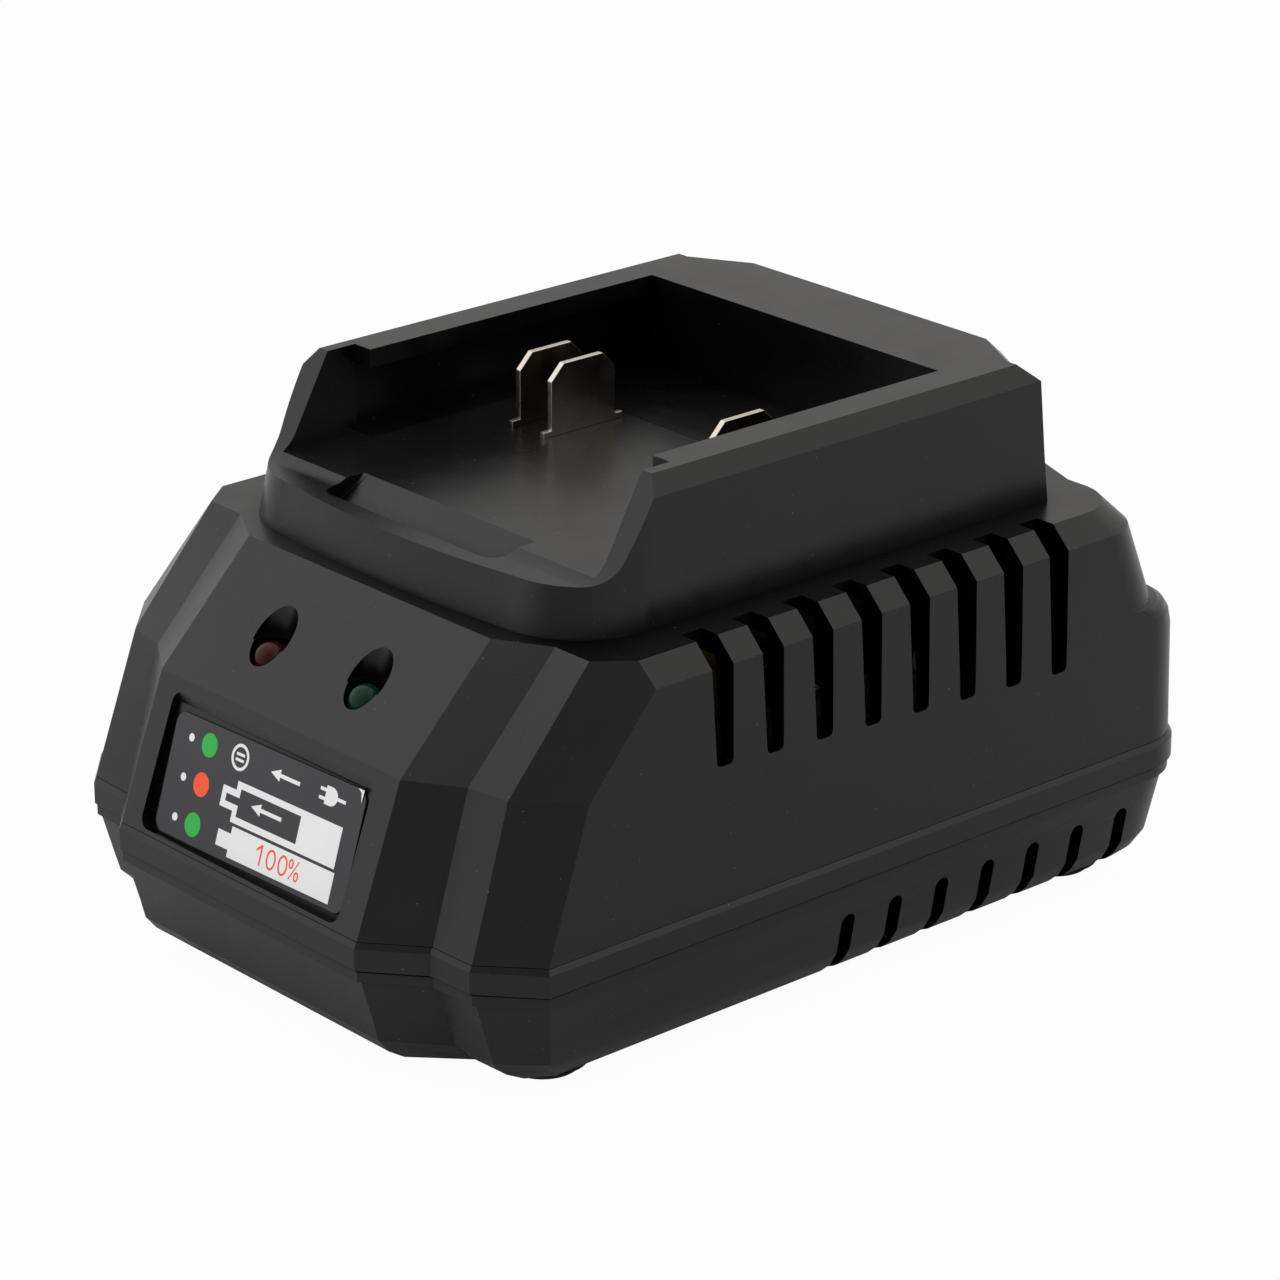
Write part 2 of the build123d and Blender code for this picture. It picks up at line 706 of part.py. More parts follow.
with BuildPart() as lower_housing:
    # the tray, ruled from level to level, with its rounding into the base
    for rise, inset in round_steps(tray_round, 5):
        with BuildSketch(Plane.XY.offset(base_z + rise)):
            draw(tray_level(inset, inset / tray_round))
    with BuildSketch(Plane.XY.offset(parting_z - rim_height)):
        draw(under_rim)
    loft(ruled=True)
    with BuildSketch(Plane.XY.offset(parting_z - rim_height)):
        draw(rim_line)
    extrude(amount=rim_height)

    # the hollow, with the same rounding inside
    inner_round = tray_round - wall
    for rise, inset in round_steps(inner_round, 4):
        with BuildSketch(Plane.XY.offset(floor_z + rise)):
            draw(tray_level(inset, inset / inner_round, wall), -wall)
    with BuildSketch(Plane.XY.offset(parting_z)):
        draw(grow(lip_out, -lip_wall), -wall)
    loft(ruled=True, mode=Mode.SUBTRACT)

    # register lip that enters the upper housing
    with BuildSketch(Plane.XY.offset(parting_z)):
        draw(lip_out, -wall)
    with BuildSketch(Plane.XY.offset(parting_z + lip_height)):
        draw(lip_out_top, -wall)
    loft(ruled=True)
    with BuildSketch(Plane.XY.offset(parting_z)):
        draw(grow(lip_out, -lip_wall), -wall)
    with BuildSketch(Plane.XY.offset(parting_z + lip_height)):
        draw(grow(lip_out_top, -lip_wall), -wall)
    loft(ruled=True, mode=Mode.SUBTRACT)

    # ventilation slots that run round the bottom edge
    for index in range(low_slot_count):
        centre_y = low_slot_first_y + index * low_slot_pitch
        for side in (1, -1):
            with BuildSketch(Plane.YZ.offset(side * low_slot_inner)):
                with Locations((centre_y, low_slot_top / 2 - 1)):
                    SlotOverall(low_slot_top + 2, low_slot_width, rotation=90)
            extrude(amount=side * 20, mode=Mode.SUBTRACT)

    # seats of the feet
    with BuildSketch(Plane.XY.offset(base_z)):
        with Locations(*foot_places):
            Circle(foot_diameter / 2 + foot_seat_wall)
    extrude(amount=foot_seat_height)
    with BuildSketch(Plane.XY.offset(base_z)):
        with Locations(*foot_places):
            Circle(foot_diameter / 2)
    extrude(amount=foot_seat_depth, mode=Mode.SUBTRACT)

    # screw bosses with counterbores from below, and standoffs of the circuit board
    with BuildSketch(Plane.XY.offset(base_z + 0.5 * tray_floor)):
        with Locations(*screw_places):
            Circle(housing_boss / 2)
    extrude(amount=boss_joint_z - base_z - 0.5 * tray_floor)
    with BuildSketch(Plane.XY.offset(base_z)):
        with Locations(*screw_places):
            Circle(screw_head / 2 + screw_clearance)
    extrude(amount=head_recess_depth, mode=Mode.SUBTRACT)
    with BuildSketch(Plane.XY.offset(screw_seat_z)):
        with Locations(*screw_places):
            Circle(screw_shank / 2 + screw_clearance)
    extrude(amount=boss_joint_z - screw_seat_z, mode=Mode.SUBTRACT)
    with BuildSketch(Plane.XY.offset(floor_z - 0.5 * tray_floor)):
        with Locations(*standoff_places):
            Circle(standoff / 2)
    extrude(amount=board_rise + 0.5 * tray_floor)
    with BuildSketch(Plane.XY.offset(board_z)):
        with Locations(*standoff_places):
            Circle(small_screw_shank / 2)
    extrude(amount=-board_screw_length, mode=Mode.SUBTRACT)

    # notch under the cord inlet
    with BuildSketch(Plane.XZ.offset(-inlet_y - 1)):
        with Locations((0, parting_z)):
            Circle(inlet_neck / 2)
    extrude(amount=inlet_y + 1 - inlet_shoulder_y, mode=Mode.SUBTRACT)
    with BuildSketch(Plane.XZ.offset(-inlet_shoulder_y)):
        with Locations((0, parting_z)):
            Circle(inlet_flange / 2)
    extrude(amount=inlet_flange_thickness, mode=Mode.SUBTRACT)
lower_housing.part.label = "lower_housing"
export_step(lower_housing.part, "parts/lower_housing.step")


# ================================================================ battery cradle

def draw_cradle(side, front_y, bow, rear_y, bulge):
    """Draw one level of the cradle in the active sketch."""
    corner_x = side - cradle_corner
    ramp_x = bulge_half + bulge_ramp
    with BuildLine() as edge:
        ThreePointArc((-corner_x, -front_y), (0, -front_y - bow), (corner_x, -front_y))
        CenterArc((corner_x, cradle_corner - front_y), cradle_corner, -90, 90)
        Polyline(
            (side, cradle_corner - front_y),
            (side, rear_y),
            (ramp_x, rear_y),
            (bulge_half, rear_y + bulge),
            (-bulge_half, rear_y + bulge),
            (-ramp_x, rear_y),
            (-side, rear_y),
            (-side, cradle_corner - front_y),
        )
        CenterArc((-corner_x, cradle_corner - front_y), cradle_corner, 180, 90)
    make_face(edge.edges())


bay_under_z = bay_z - cradle_floor
cradle_edge_z = cradle_z - cradle_edge_height
land_front = cradle_front - cradle_front_lean
land_bow = cradle_bow + cradle_bow_gain
edge_rear = cradle_rear - cradle_rear_lean
rail_under_z = cradle_z - rail_thickness

# latch pocket, as a solid to be cut out: its floor slopes forward, less so at both ends
latch_front = latch_y - latch_run
with BuildPart() as latch_pocket:
    for half, depth in (
        (latch_half, latch_ledge_depth),
        (latch_half - latch_ledge, latch_depth),
    ):
        with BuildSketch(Plane.YZ.offset(latch_shift - half)):
            with BuildLine():
                Polyline(
                    (latch_y, bay_z),
                    (latch_front, bay_z - depth),
                    (latch_front, bay_z + 1),
                    (latch_y, bay_z + 1),
                    close=True,
                )
            make_face()
        extrude(amount=2 * half)
    with BuildSketch(Plane.XY.offset(bay_z - latch_depth - 1)) as latch_plan:
        with Locations((latch_shift, latch_y - latch_run / 2)):
            Rectangle(2 * latch_half, latch_run)
        fillet(latch_plan.vertices().group_by(Axis.Y)[0], latch_corner)
    extrude(amount=latch_depth + 3, mode=Mode.INTERSECT)

with BuildPart() as battery_cradle:
    for level, side, front_y, bow, rear_y in (
        (deck_z, cradle_half + cradle_flare, cradle_front, cradle_bow, cradle_rear),
        (land_z, cradle_half + 0.5 * cradle_flare, land_front, land_bow, cradle_rear - 0.7),
        (cradle_edge_z, cradle_half, land_front, land_bow, edge_rear),
        (cradle_z, cradle_half - cradle_edge, land_front, land_bow, edge_rear - cradle_rear_edge),
    ):
        with BuildSketch(Plane.XY.offset(level)):
            draw_cradle(side, front_y, bow, rear_y, cradle_bulge)
    loft(ruled=True)

    # open front: the side walls end in a slant that runs out into the land
    with BuildSketch(Plane.YZ.offset(-cradle_half - 2)):
        with BuildLine():
            slant = cradle_z - land_z
            FilletPolyline(
                (wall_end_y + 1.0, cradle_z + 1.0 / wall_end_lean),
                (wall_end_y - wall_end_lean * slant, land_z),
                (-cradle_front - 4, land_z),
                radius=wall_end_round,
            )
            Polyline(
                (-cradle_front - 4, land_z),
                (-cradle_front - 4, cradle_z + 4),
                (wall_end_y + 1.0, cradle_z + 4),
                (wall_end_y + 1.0, cradle_z + 1.0 / wall_end_lean),
            )
        make_face()
    extrude(amount=2 * cradle_half + 4, mode=Mode.SUBTRACT)

    # the bay between the rails and the wider mouth in front of them, with the ramp from the
    # floor down to the land
    for half, back_y in ((rail_gap_half, bay_back_y), (mouth_half, rail_start_y)):
        with BuildSketch(Plane.YZ.offset(-half)):
            with BuildLine():
                Polyline(
                    (bay_front_y, bay_z),
                    (back_y, bay_z),
                    (back_y, cradle_z + 1),
                    (-cradle_front - 4, cradle_z + 1),
                    (-cradle_front - 4, land_z),
                    (bay_front_y - land_ramp, land_z),
                    (bay_front_y - land_ramp_steep, bay_z - land_ramp_steep_drop),
                    close=True,
                )
            make_face()
        extrude(amount=2 * half, mode=Mode.SUBTRACT)

    # grooves behind the rails
    for side in (1, -1):
        with BuildSketch(Plane.XY.offset(bay_z - groove_drop)):
            with BuildLine():
                Polyline(
                    (side * rail_gap_half, rail_start_y),
                    (side * groove_half, rail_start_y),
                    (side * groove_half, bay_back_y),
                    (side * rail_gap_half, bay_back_y),
                    close=True,
                )
            make_face()
        extrude(amount=rail_under_z - bay_z + groove_drop, mode=Mode.SUBTRACT)

    # latch pocket with a sloping floor and rounded front corners
    add(latch_pocket.part, mode=Mode.SUBTRACT)

    # lower shelf at the rear of the bay, with a groove along its front edge
    with BuildSketch(Plane.XY.offset(bay_z)):
        with Locations((0, (shelf_y + bay_back_y) / 2)):
            Rectangle(2 * rail_gap_half, bay_back_y - shelf_y)
    extrude(amount=-shelf_drop, mode=Mode.SUBTRACT)
    with BuildSketch(Plane.XY.offset(bay_z)):
        with Locations((0, shelf_y)):
            Rectangle(2 * rail_gap_half, shelf_groove)
    extrude(amount=-shelf_drop - shelf_groove_depth, mode=Mode.SUBTRACT)

    # hollow underside: bay, front shelf, rear block
    front_hollow_y = latch_front + 1.5
    for front_y, rear_y, half, top_z in (
        (latch_y + 2.0, bay_back_y, hollow_half, bay_under_z),
        (front_hollow_y, latch_y + 2.0, hollow_half - 6, bay_z - latch_depth - cradle_wall),
        (bay_back_y + cradle_wall, edge_rear - cradle_rear_edge + 1, hollow_half, cradle_edge_z - 1),
    ):
        with BuildSketch(Plane.XY.offset(deck_z)):
            with Locations((0, (front_y + rear_y) / 2)):
                Rectangle(2 * half, rear_y - front_y)
        extrude(amount=top_z - deck_z, mode=Mode.SUBTRACT)

    # spigot that drops into the deck opening
    spigot_half = deck_opening_half - fit_gap
    with BuildSketch(Plane.XY.offset(bay_under_z)):
        with Locations((0, (deck_opening_rear - deck_opening_front) / 2)):
            Rectangle(2 * spigot_half, deck_opening_front + deck_opening_rear - 2 * fit_gap)
        fillet(vertices(), opening_corner)
        offset(amount=-spigot_wall, mode=Mode.SUBTRACT)
    extrude(amount=deck_z - spigot_depth - bay_under_z)

    # posts for the screws that come up through the deck
    with BuildSketch(Plane.XY.offset(deck_z)):
        with Locations(*cradle_screw_places):
            Circle(cradle_post / 2)
    extrude(amount=bay_z - groove_drop - deck_z)
    with BuildSketch(Plane.XY.offset(deck_z)):
        with Locations(*cradle_screw_places):
            Circle(small_screw_shank / 2)
    extrude(amount=cradle_screw_length - deck_thickness, mode=Mode.SUBTRACT)

    # slots that the contacts stand in, and pilot bores of the contact block
    with BuildSketch(Plane.XY.offset(bay_z)):
        with Locations(*[(x, blade_y) for x in blade_places.values()]):
            Rectangle(blade_thickness + 2 * blade_gap, blade_foot_width + 2 * blade_gap)
    extrude(amount=-cradle_floor, mode=Mode.SUBTRACT)
    with BuildSketch(Plane.XY.offset(bay_under_z)):
        with Locations(*block_screw_places):
            Circle(small_screw_shank / 2)
    extrude(amount=block_screw_length - block_height, mode=Mode.SUBTRACT)
battery_cradle.part.label = "battery_cradle"
export_step(battery_cradle.part, "parts/battery_cradle.step")


# ================================================================ contacts and their block

block_z = bay_under_z - block_height

with BuildPart() as terminal_block:
    with BuildSketch(Plane.XY.offset(block_z)):
        with Locations((0, blade_y)):
            RectangleRounded(2 * block_half, blade_foot_width + 2 * block_wall, 2.0)
    extrude(amount=block_height)
    with BuildSketch(Plane.XY.offset(block_z)):
        with Locations(*[(x, blade_y) for x in blade_places.values()]):
            Rectangle(blade_thickness, blade_foot_width)
    extrude(amount=block_height, mode=Mode.SUBTRACT)
    with BuildSketch(Plane.XY.offset(block_z)):
        with Locations(*block_screw_places):
            Circle(small_screw_shank / 2 + screw_clearance)
    extrude(amount=block_height, mode=Mode.SUBTRACT)
terminal_block.part.label = "terminal_block"
export_step(terminal_block.part, "parts/terminal_block.step")

for place, blade_x in blade_places.items():
    with BuildPart() as contact_blade:
        with BuildSketch(Plane.YZ.offset(blade_x - blade_thickness / 2)):
            with BuildLine():
                Polyline(
                    (blade_y - blade_tail_width / 2, block_z - blade_tail_length),
                    (blade_y + blade_tail_width / 2, block_z - blade_tail_length),
                    (blade_y + blade_tail_width / 2, block_z),
                    (blade_y + blade_foot_width / 2, block_z),
                    (blade_y + blade_foot_width / 2, bay_z + blade_shoulder_height),
                    (blade_y + blade_width / 2, bay_z + blade_shoulder_height),
                    (blade_y + blade_width / 2, blade_top_z - blade_corner),
                    (blade_y + blade_width / 2 - blade_corner, blade_top_z),
                    (blade_y - blade_width / 2 + blade_corner, blade_top_z),
                    (blade_y - blade_width / 2, blade_top_z - blade_corner),
                    (blade_y - blade_width / 2, bay_z + blade_shoulder_height),
                    (blade_y - blade_foot_width / 2, bay_z + blade_shoulder_height),
                    (blade_y - blade_foot_width / 2, block_z),
                    (blade_y - blade_tail_width / 2, block_z),
                    close=True,
                )
            make_face()
        extrude(amount=blade_thickness)
    contact_blade.part.label = f"contact_blade_{place}"
    export_step(contact_blade.part, f"parts/contact_blade_{place}.step")


# ================================================================ label, lamps, lamp board

with BuildPart() as label:
    with BuildSketch(label_seat):
        with Locations(
            Location((recess_shift + label_shift, -label_drop, 0), (0, 0, label_turn))
        ):
            RectangleRounded(2 * label_half, label_height, recess_corner)
    extrude(amount=label_thickness)
label.part.label = "label"
export_step(label.part, "parts/label.step")

for colour, (lamp_x, lamp_centre_y) in zip(("red", "green"), led_places):
    with BuildPart() as lamp:
        with BuildSketch(Plane.XZ.offset(-lamp_centre_y)):
            dome_z = lamp_top_z - led_diameter / 2
            with BuildLine():
                Polyline(
                    (lamp_x, lamp_top_z),
                    (lamp_x, lamp_base_z),
                    (lamp_x + led_flange / 2, lamp_base_z),
                    (lamp_x + led_flange / 2, lamp_base_z + led_flange_height),
                    (lamp_x + led_diameter / 2, lamp_base_z + led_flange_height),
                    (lamp_x + led_diameter / 2, dome_z),
                )
                CenterArc((lamp_x, dome_z), led_diameter / 2, 0, 90)
            make_face()
        revolve(axis=Axis((lamp_x, lamp_centre_y, 0), (0, 0, 1)))
    lamp.part.label = f"{colour}_lamp"
    export_step(lamp.part, f"parts/{colour}_lamp.step")

with BuildPart() as lamp_board:
    with BuildSketch(Plane.XY.offset(lamp_base_z)):
        with Locations((0, lamp_y)):
            RectangleRounded(2 * lamp_board_half, lamp_board_depth, 1.0)
        with Locations((-lamp_post_x, lamp_y), (lamp_post_x, lamp_y)):
            Circle(small_screw_shank / 2 + screw_clearance, mode=Mode.SUBTRACT)
    extrude(amount=-board_thickness)
lamp_board.part.label = "lamp_board"
export_step(lamp_board.part, "parts/lamp_board.step")


# ================================================================ screws, feet, inlet

def screws_up(places, seat_z, shank, length, head, head_height):
    """Screws that point up from below, heads under the seat, each with a cross recess."""
    with BuildPart() as group:
        with BuildSketch(Plane.XY.offset(seat_z)):
            with Locations(*places):
                Circle(shank / 2)
        extrude(amount=length)
        with BuildSketch(Plane.XY.offset(seat_z)):
            with Locations(*places):
                Circle(head / 2)
        extrude(amount=-head_height, taper=8)
        with BuildSketch(Plane.XY.offset(seat_z - head_height)):
            with Locations(*places):
                Rectangle(0.55 * head, 0.14 * head)
                Rectangle(0.14 * head, 0.55 * head)
        extrude(amount=0.5 * head_height, mode=Mode.SUBTRACT)
    return group.part


def write(solid, name):
    """Label a finished piece and write it to its own file."""
    solid.label = name
    export_step(solid, f"parts/{name}.step")


write(
    screws_up(
        screw_places, screw_seat_z, screw_shank, housing_screw_length, screw_head, screw_head_height
    ),
    "housing_screws",
)
write(
    screws_up(
        cradle_screw_places, deck_under_z, small_screw_shank, cradle_screw_length,
        small_screw_head, small_screw_head_height,
    ),
    "cradle_screws",
)
write(
    screws_up(
        block_screw_places, block_z, small_screw_shank, block_screw_length,
        small_screw_head, small_screw_head_height,
    ),
    "terminal_block_screws",
)
write(
    screws_up(
        [(-lamp_post_x, lamp_y), (lamp_post_x, lamp_y)], lamp_base_z - board_thickness,
        small_screw_shank, board_screw_length, small_screw_head, small_screw_head_height,
    ),
    "lamp_board_screws",
)

for place, (foot_x_here, foot_y_here) in zip(
    ("front_left", "rear_left", "front_right", "rear_right"), foot_places
):
    with BuildPart() as foot:
        with BuildSketch(Plane.XY):
            with Locations((foot_x_here, foot_y_here)):
                Circle(foot_diameter / 2)
        extrude(amount=foot_proud + foot_seat_depth)
        fillet(foot.edges().group_by(Axis.Z)[0], foot_edge)
    foot.part.label = f"foot_{place}"
    export_step(foot.part, f"parts/foot_{place}.step")

with BuildPart() as cord_inlet_bush:
    with BuildSketch(Plane.XZ.offset(-inlet_y)):
        with Locations((0, parting_z)):
            Circle(inlet_neck / 2)
    extrude(amount=inlet_y - inlet_shoulder_y)
    with BuildSketch(Plane.XZ.offset(-inlet_shoulder_y)):
        with Locations((0, parting_z)):
            Circle(inlet_flange / 2)
    extrude(amount=inlet_flange_thickness)
    with BuildSketch(Plane.XZ.offset(-inlet_y)):
        with Locations((0, parting_z)):
            Circle(inlet_bore / 2)
    extrude(amount=inlet_y, mode=Mode.SUBTRACT)
    outer_circles = cord_inlet_bush.edges().filter_by(GeomType.CIRCLE).group_by(Axis.Y)[-1]
    chamfer(outer_circles.sort_by(SortBy.RADIUS)[0], inlet_mouth)
cord_inlet_bush.part.label = "cord_inlet_bush"
export_step(cord_inlet_bush.part, "parts/cord_inlet_bush.step")


# ================================================================ circuit board

with BuildPart() as main_circuit_board:
    with BuildSketch(Plane.XY.offset(board_z)):
        with Locations((0, (board_front_y + board_rear_y) / 2)):
            RectangleRounded(2 * board_half, board_rear_y - board_front_y, 2.0)
        with Locations(*standoff_places):
            Circle(small_screw_shank / 2 + screw_clearance, mode=Mode.SUBTRACT)
    extrude(amount=board_thickness)
main_circuit_board.part.label = "main_circuit_board"
export_step(main_circuit_board.part, "parts/main_circuit_board.step")

with BuildPart() as board_screws:
    with BuildSketch(Plane.XY.offset(board_top_z)):
        with Locations(*standoff_places):
            Circle(small_screw_shank / 2)
    extrude(amount=-board_screw_length)
    with BuildSketch(Plane.XY.offset(board_top_z)):
        with Locations(*standoff_places):
            Circle(small_screw_head / 2)
    extrude(amount=small_screw_head_height, taper=8)
    with BuildSketch(Plane.XY.offset(board_top_z + small_screw_head_height)):
        with Locations(*standoff_places):
            Rectangle(0.55 * small_screw_head, 0.14 * small_screw_head)
            Rectangle(0.14 * small_screw_head, 0.55 * small_screw_head)
    extrude(amount=-0.5 * small_screw_head_height, mode=Mode.SUBTRACT)
write(board_screws.part, "board_screws")


def add_legs(places, top_z):
    """Add round legs to the active part, from a level down to their solder joints."""
    with BuildSketch(Plane.XY.offset(board_top_z)) as legs:
        with Locations(*places):
            Circle(leg / 2)
    extrude(legs.sketch, amount=top_z - board_top_z)


# ================================================================ transformer

window_height = core_height - 2 * core_yoke
window_width = core_width / 2 - core_leg / 2 - core_yoke
window_z = board_top_z + core_yoke

with BuildPart() as transformer_core:
    with BuildSketch(Plane.XZ.offset(-core_y - core_depth / 2)):
        with Locations((core_x, board_top_z + core_height / 2)):
            Rectangle(core_width, core_height)
            with Locations(
                (core_leg / 2 + window_width / 2, 0), (-core_leg / 2 - window_width / 2, 0)
            ):
                Rectangle(window_width, window_height, mode=Mode.SUBTRACT)
    extrude(amount=core_depth)
write(transformer_core.part, "transformer_core")

flange_out = winding_build + bobbin_wall + winding_gap
with BuildPart() as transformer_bobbin:
    for level, reach, height in (
        (window_z, flange_out, bobbin_wall),
        (window_z + bobbin_wall, bobbin_wall, window_height - 2 * bobbin_wall),
        (window_z + window_height - bobbin_wall, flange_out, bobbin_wall),
    ):
        with BuildSketch(Plane.XY.offset(level)):
            with Locations((core_x, core_y)):
                Rectangle(core_leg + 2 * reach, core_depth + 2 * reach)
                Rectangle(core_leg, core_depth, mode=Mode.SUBTRACT)
        extrude(amount=height)
write(transformer_bobbin.part, "transformer_bobbin")

with BuildPart() as transformer_winding:
    inner_reach = bobbin_wall
    outer_reach = bobbin_wall + winding_build
    with BuildSketch(Plane.XY.offset(window_z + bobbin_wall)):
        with Locations((core_x, core_y)):
            RectangleRounded(core_leg + 2 * outer_reach, core_depth + 2 * outer_reach, winding_build)
            Rectangle(core_leg + 2 * inner_reach, core_depth + 2 * inner_reach, mode=Mode.SUBTRACT)
    extrude(amount=window_height - 2 * bobbin_wall)
write(transformer_winding.part, "transformer_winding")


# ================================================================ choke and capacitors

choke_mid = (choke_outer + choke_inner) / 4
choke_width = (choke_outer - choke_inner) / 2
choke_mid_z = board_top_z + choke_rise + choke_wire + choke_height / 2

with BuildPart() as choke_core:
    with BuildSketch(Plane.XY.offset(choke_mid_z - choke_height / 2)):
        with Locations((choke_x, choke_y)):
            Circle(choke_outer / 2)
            Circle(choke_inner / 2, mode=Mode.SUBTRACT)
    extrude(amount=choke_height)
write(choke_core.part, "choke_core")

with BuildPart() as choke_winding:
    for start in (90 - choke_arc / 2, 270 - choke_arc / 2):
        turned = Plane((choke_x, choke_y, choke_mid_z)).rotated((0, 0, start))
        section = Plane(origin=turned.origin, x_dir=turned.x_dir, z_dir=-turned.y_dir)
        with BuildSketch(section):
            with Locations((choke_mid, 0)):
                RectangleRounded(choke_width + 2 * choke_wire, choke_height + 2 * choke_wire, 1.2)
                Rectangle(choke_width, choke_height, mode=Mode.SUBTRACT)
        revolve(axis=Axis((choke_x, choke_y, 0), (0, 0, 1)), revolution_arc=choke_arc)
    choke_leg_x = choke_outer / 2 + choke_wire / 2
    add_legs(
        [(choke_x, choke_y + choke_leg_x), (choke_x, choke_y - choke_leg_x)], choke_mid_z
    )
write(choke_winding.part, "choke_winding")

can_places = {"input_capacitor": (bulk_x, bulk_y, bulk_diameter / 2, bulk_height)}
for index in range(output_cap_count):
    cap_y = output_cap_first_y + index * output_cap_pitch
    can_places[f"output_capacitor_{index + 1}"] = (
        output_cap_x, cap_y, output_cap_diameter / 2, output_cap_height,
    )
for name, (can_x, can_y, can_radius, can_height) in can_places.items():
    with BuildPart() as capacitor:
        with BuildSketch(Plane.XZ.offset(-can_y)):
            with BuildLine():
                Polyline(
                    (can_x, board_top_z),
                    (can_x + can_radius, board_top_z),
                    (can_x + can_radius, board_top_z + crimp_height),
                    (can_x + can_radius - crimp_depth, board_top_z + 1.4 * crimp_height),
                    (can_x + can_radius, board_top_z + 1.8 * crimp_height),
                    (can_x + can_radius, board_top_z + can_height - sleeve_edge),
                    (can_x + can_radius - sleeve_edge, board_top_z + can_height),
                    (can_x, board_top_z + can_height),
                    close=True,
                )
            make_face()
        revolve(axis=Axis((can_x, can_y, 0), (0, 0, 1)))
    write(capacitor.part, name)

with BuildPart() as filter_capacitor:
    with BuildSketch(Plane.XY.offset(board_top_z)):
        with Locations((filter_cap_x, filter_cap_y)):
            RectangleRounded(filter_cap_length, filter_cap_width, 0.8)
    extrude(amount=filter_cap_height)
    fillet(filter_capacitor.edges().group_by(Axis.Z)[-1], 0.6)
write(filter_capacitor.part, "filter_capacitor")


# ================================================================ fuse, varistor, rectifier

fuse_z = board_top_z + fuse_axis_rise

with BuildPart() as fuse:
    with BuildSketch(Plane.XZ.offset(-fuse_y - fuse_length / 2)):
        with Locations((fuse_x, fuse_z)):
            Circle(fuse_diameter / 2 - 0.2)
    extrude(amount=fuse_length)
    for cap_y in (fuse_y + fuse_length / 2, fuse_y - fuse_length / 2 + fuse_cap):
        with BuildSketch(Plane.XZ.offset(-cap_y)):
            with Locations((fuse_x, fuse_z)):
                Circle(fuse_diameter / 2)
        extrude(amount=fuse_cap)
write(fuse.part, "fuse")

with BuildPart() as fuse_clips:
    for clip_y in (fuse_y + fuse_length / 2, fuse_y - fuse_length / 2 + fuse_cap):
        with BuildSketch(Plane.XZ.offset(-clip_y + (fuse_cap - clip_width) / 2)):
            with Locations((fuse_x, fuse_z)):
                Circle(fuse_diameter / 2 + clip_wall)
                Circle(fuse_diameter / 2, mode=Mode.SUBTRACT)
            with Locations((fuse_x, fuse_z + fuse_diameter / 2 + clip_wall)):
                Rectangle(fuse_diameter, fuse_diameter / 2, mode=Mode.SUBTRACT)
            with Locations((fuse_x, board_top_z + (fuse_axis_rise - fuse_diameter / 2) / 2)):
                Rectangle(fuse_diameter, fuse_axis_rise - fuse_diameter / 2)
        extrude(amount=clip_width)
write(fuse_clips.part, "fuse_clips")

with BuildPart() as varistor:
    varistor_z = board_top_z + varistor_rise + varistor_diameter / 2
    with BuildSketch(Plane.XZ.offset(-varistor_y - varistor_thickness / 2)):
        with Locations((varistor_x, varistor_z)):
            Circle(varistor_diameter / 2)
    extrude(amount=varistor_thickness)
    fillet(varistor.edges().filter_by(GeomType.CIRCLE), 1.2)
    varistor_reach = varistor_diameter / 4
    add_legs(
        [(varistor_x - varistor_reach, varistor_y), (varistor_x + varistor_reach, varistor_y)],
        varistor_z,
    )
write(varistor.part, "varistor")

with BuildPart() as bridge_rectifier:
    bridge_low_z = board_top_z + bridge_rise
    with BuildSketch(Plane.YZ.offset(bridge_x - bridge_thickness / 2)) as bridge_face:
        with Locations((bridge_y, bridge_low_z + bridge_height / 2)):
            Rectangle(bridge_length, bridge_height)
        chamfer(bridge_face.vertices().group_by(Axis.Y)[-1][0], 2.0)
    extrude(amount=bridge_thickness)
    add_legs(
        [(bridge_x, bridge_y + step * bridge_length / 4.4) for step in (-1.5, -0.5, 0.5, 1.5)],
        bridge_low_z + 1.0,
    )
write(bridge_rectifier.part, "bridge_rectifier")


# ================================================================ heat sink and power devices

with BuildPart() as heat_sink:
    sink_y = sink_front_y + sink_length / 2
    with BuildSketch(Plane.XY.offset(board_top_z)):
        with Locations((sink_x + sink_plate / 2, sink_y)):
            Rectangle(sink_plate, sink_length)
        with Locations((sink_x + sink_plate + sink_fin / 2, sink_y)):
            with GridLocations(
                0, (sink_length - sink_fin_thickness) / (sink_fin_count - 1), 1, sink_fin_count
            ):
                Rectangle(sink_fin, sink_fin_thickness)
    extrude(amount=sink_height)
    for place_y in device_y.values():
        with BuildSketch(Plane.YZ.offset(sink_x)):
            with Locations((place_y, tab_top_z - device_screw_drop)):
                Circle(device_screw_shank / 2)
        extrude(amount=sink_plate + sink_fin, mode=Mode.SUBTRACT)
write(heat_sink.part, "heat_sink")

for name, place_y in device_y.items():
    with BuildPart() as power_device:
        device_z = board_top_z + device_rise
        with BuildSketch(Plane.YZ.offset(sink_x)):
            with Locations((place_y, device_z + tab_height / 2)):
                Rectangle(tab_width, tab_height)
            with Locations((place_y, tab_top_z - device_screw_drop)):
                Circle(device_screw_shank / 2 + screw_clearance, mode=Mode.SUBTRACT)
        extrude(amount=-tab_thickness)
        with BuildSketch(Plane.YZ.offset(sink_x)):
            with Locations((place_y, device_z + device_height / 2)):
                Rectangle(tab_width, device_height)
        extrude(amount=-device_thickness)
        device_leg_x = sink_x - device_thickness / 2
        add_legs(
            [(device_leg_x, place_y + step * device_leg_pitch) for step in (-1, 0, 1)],
            device_z + 0.5,
        )
    write(power_device.part, name)

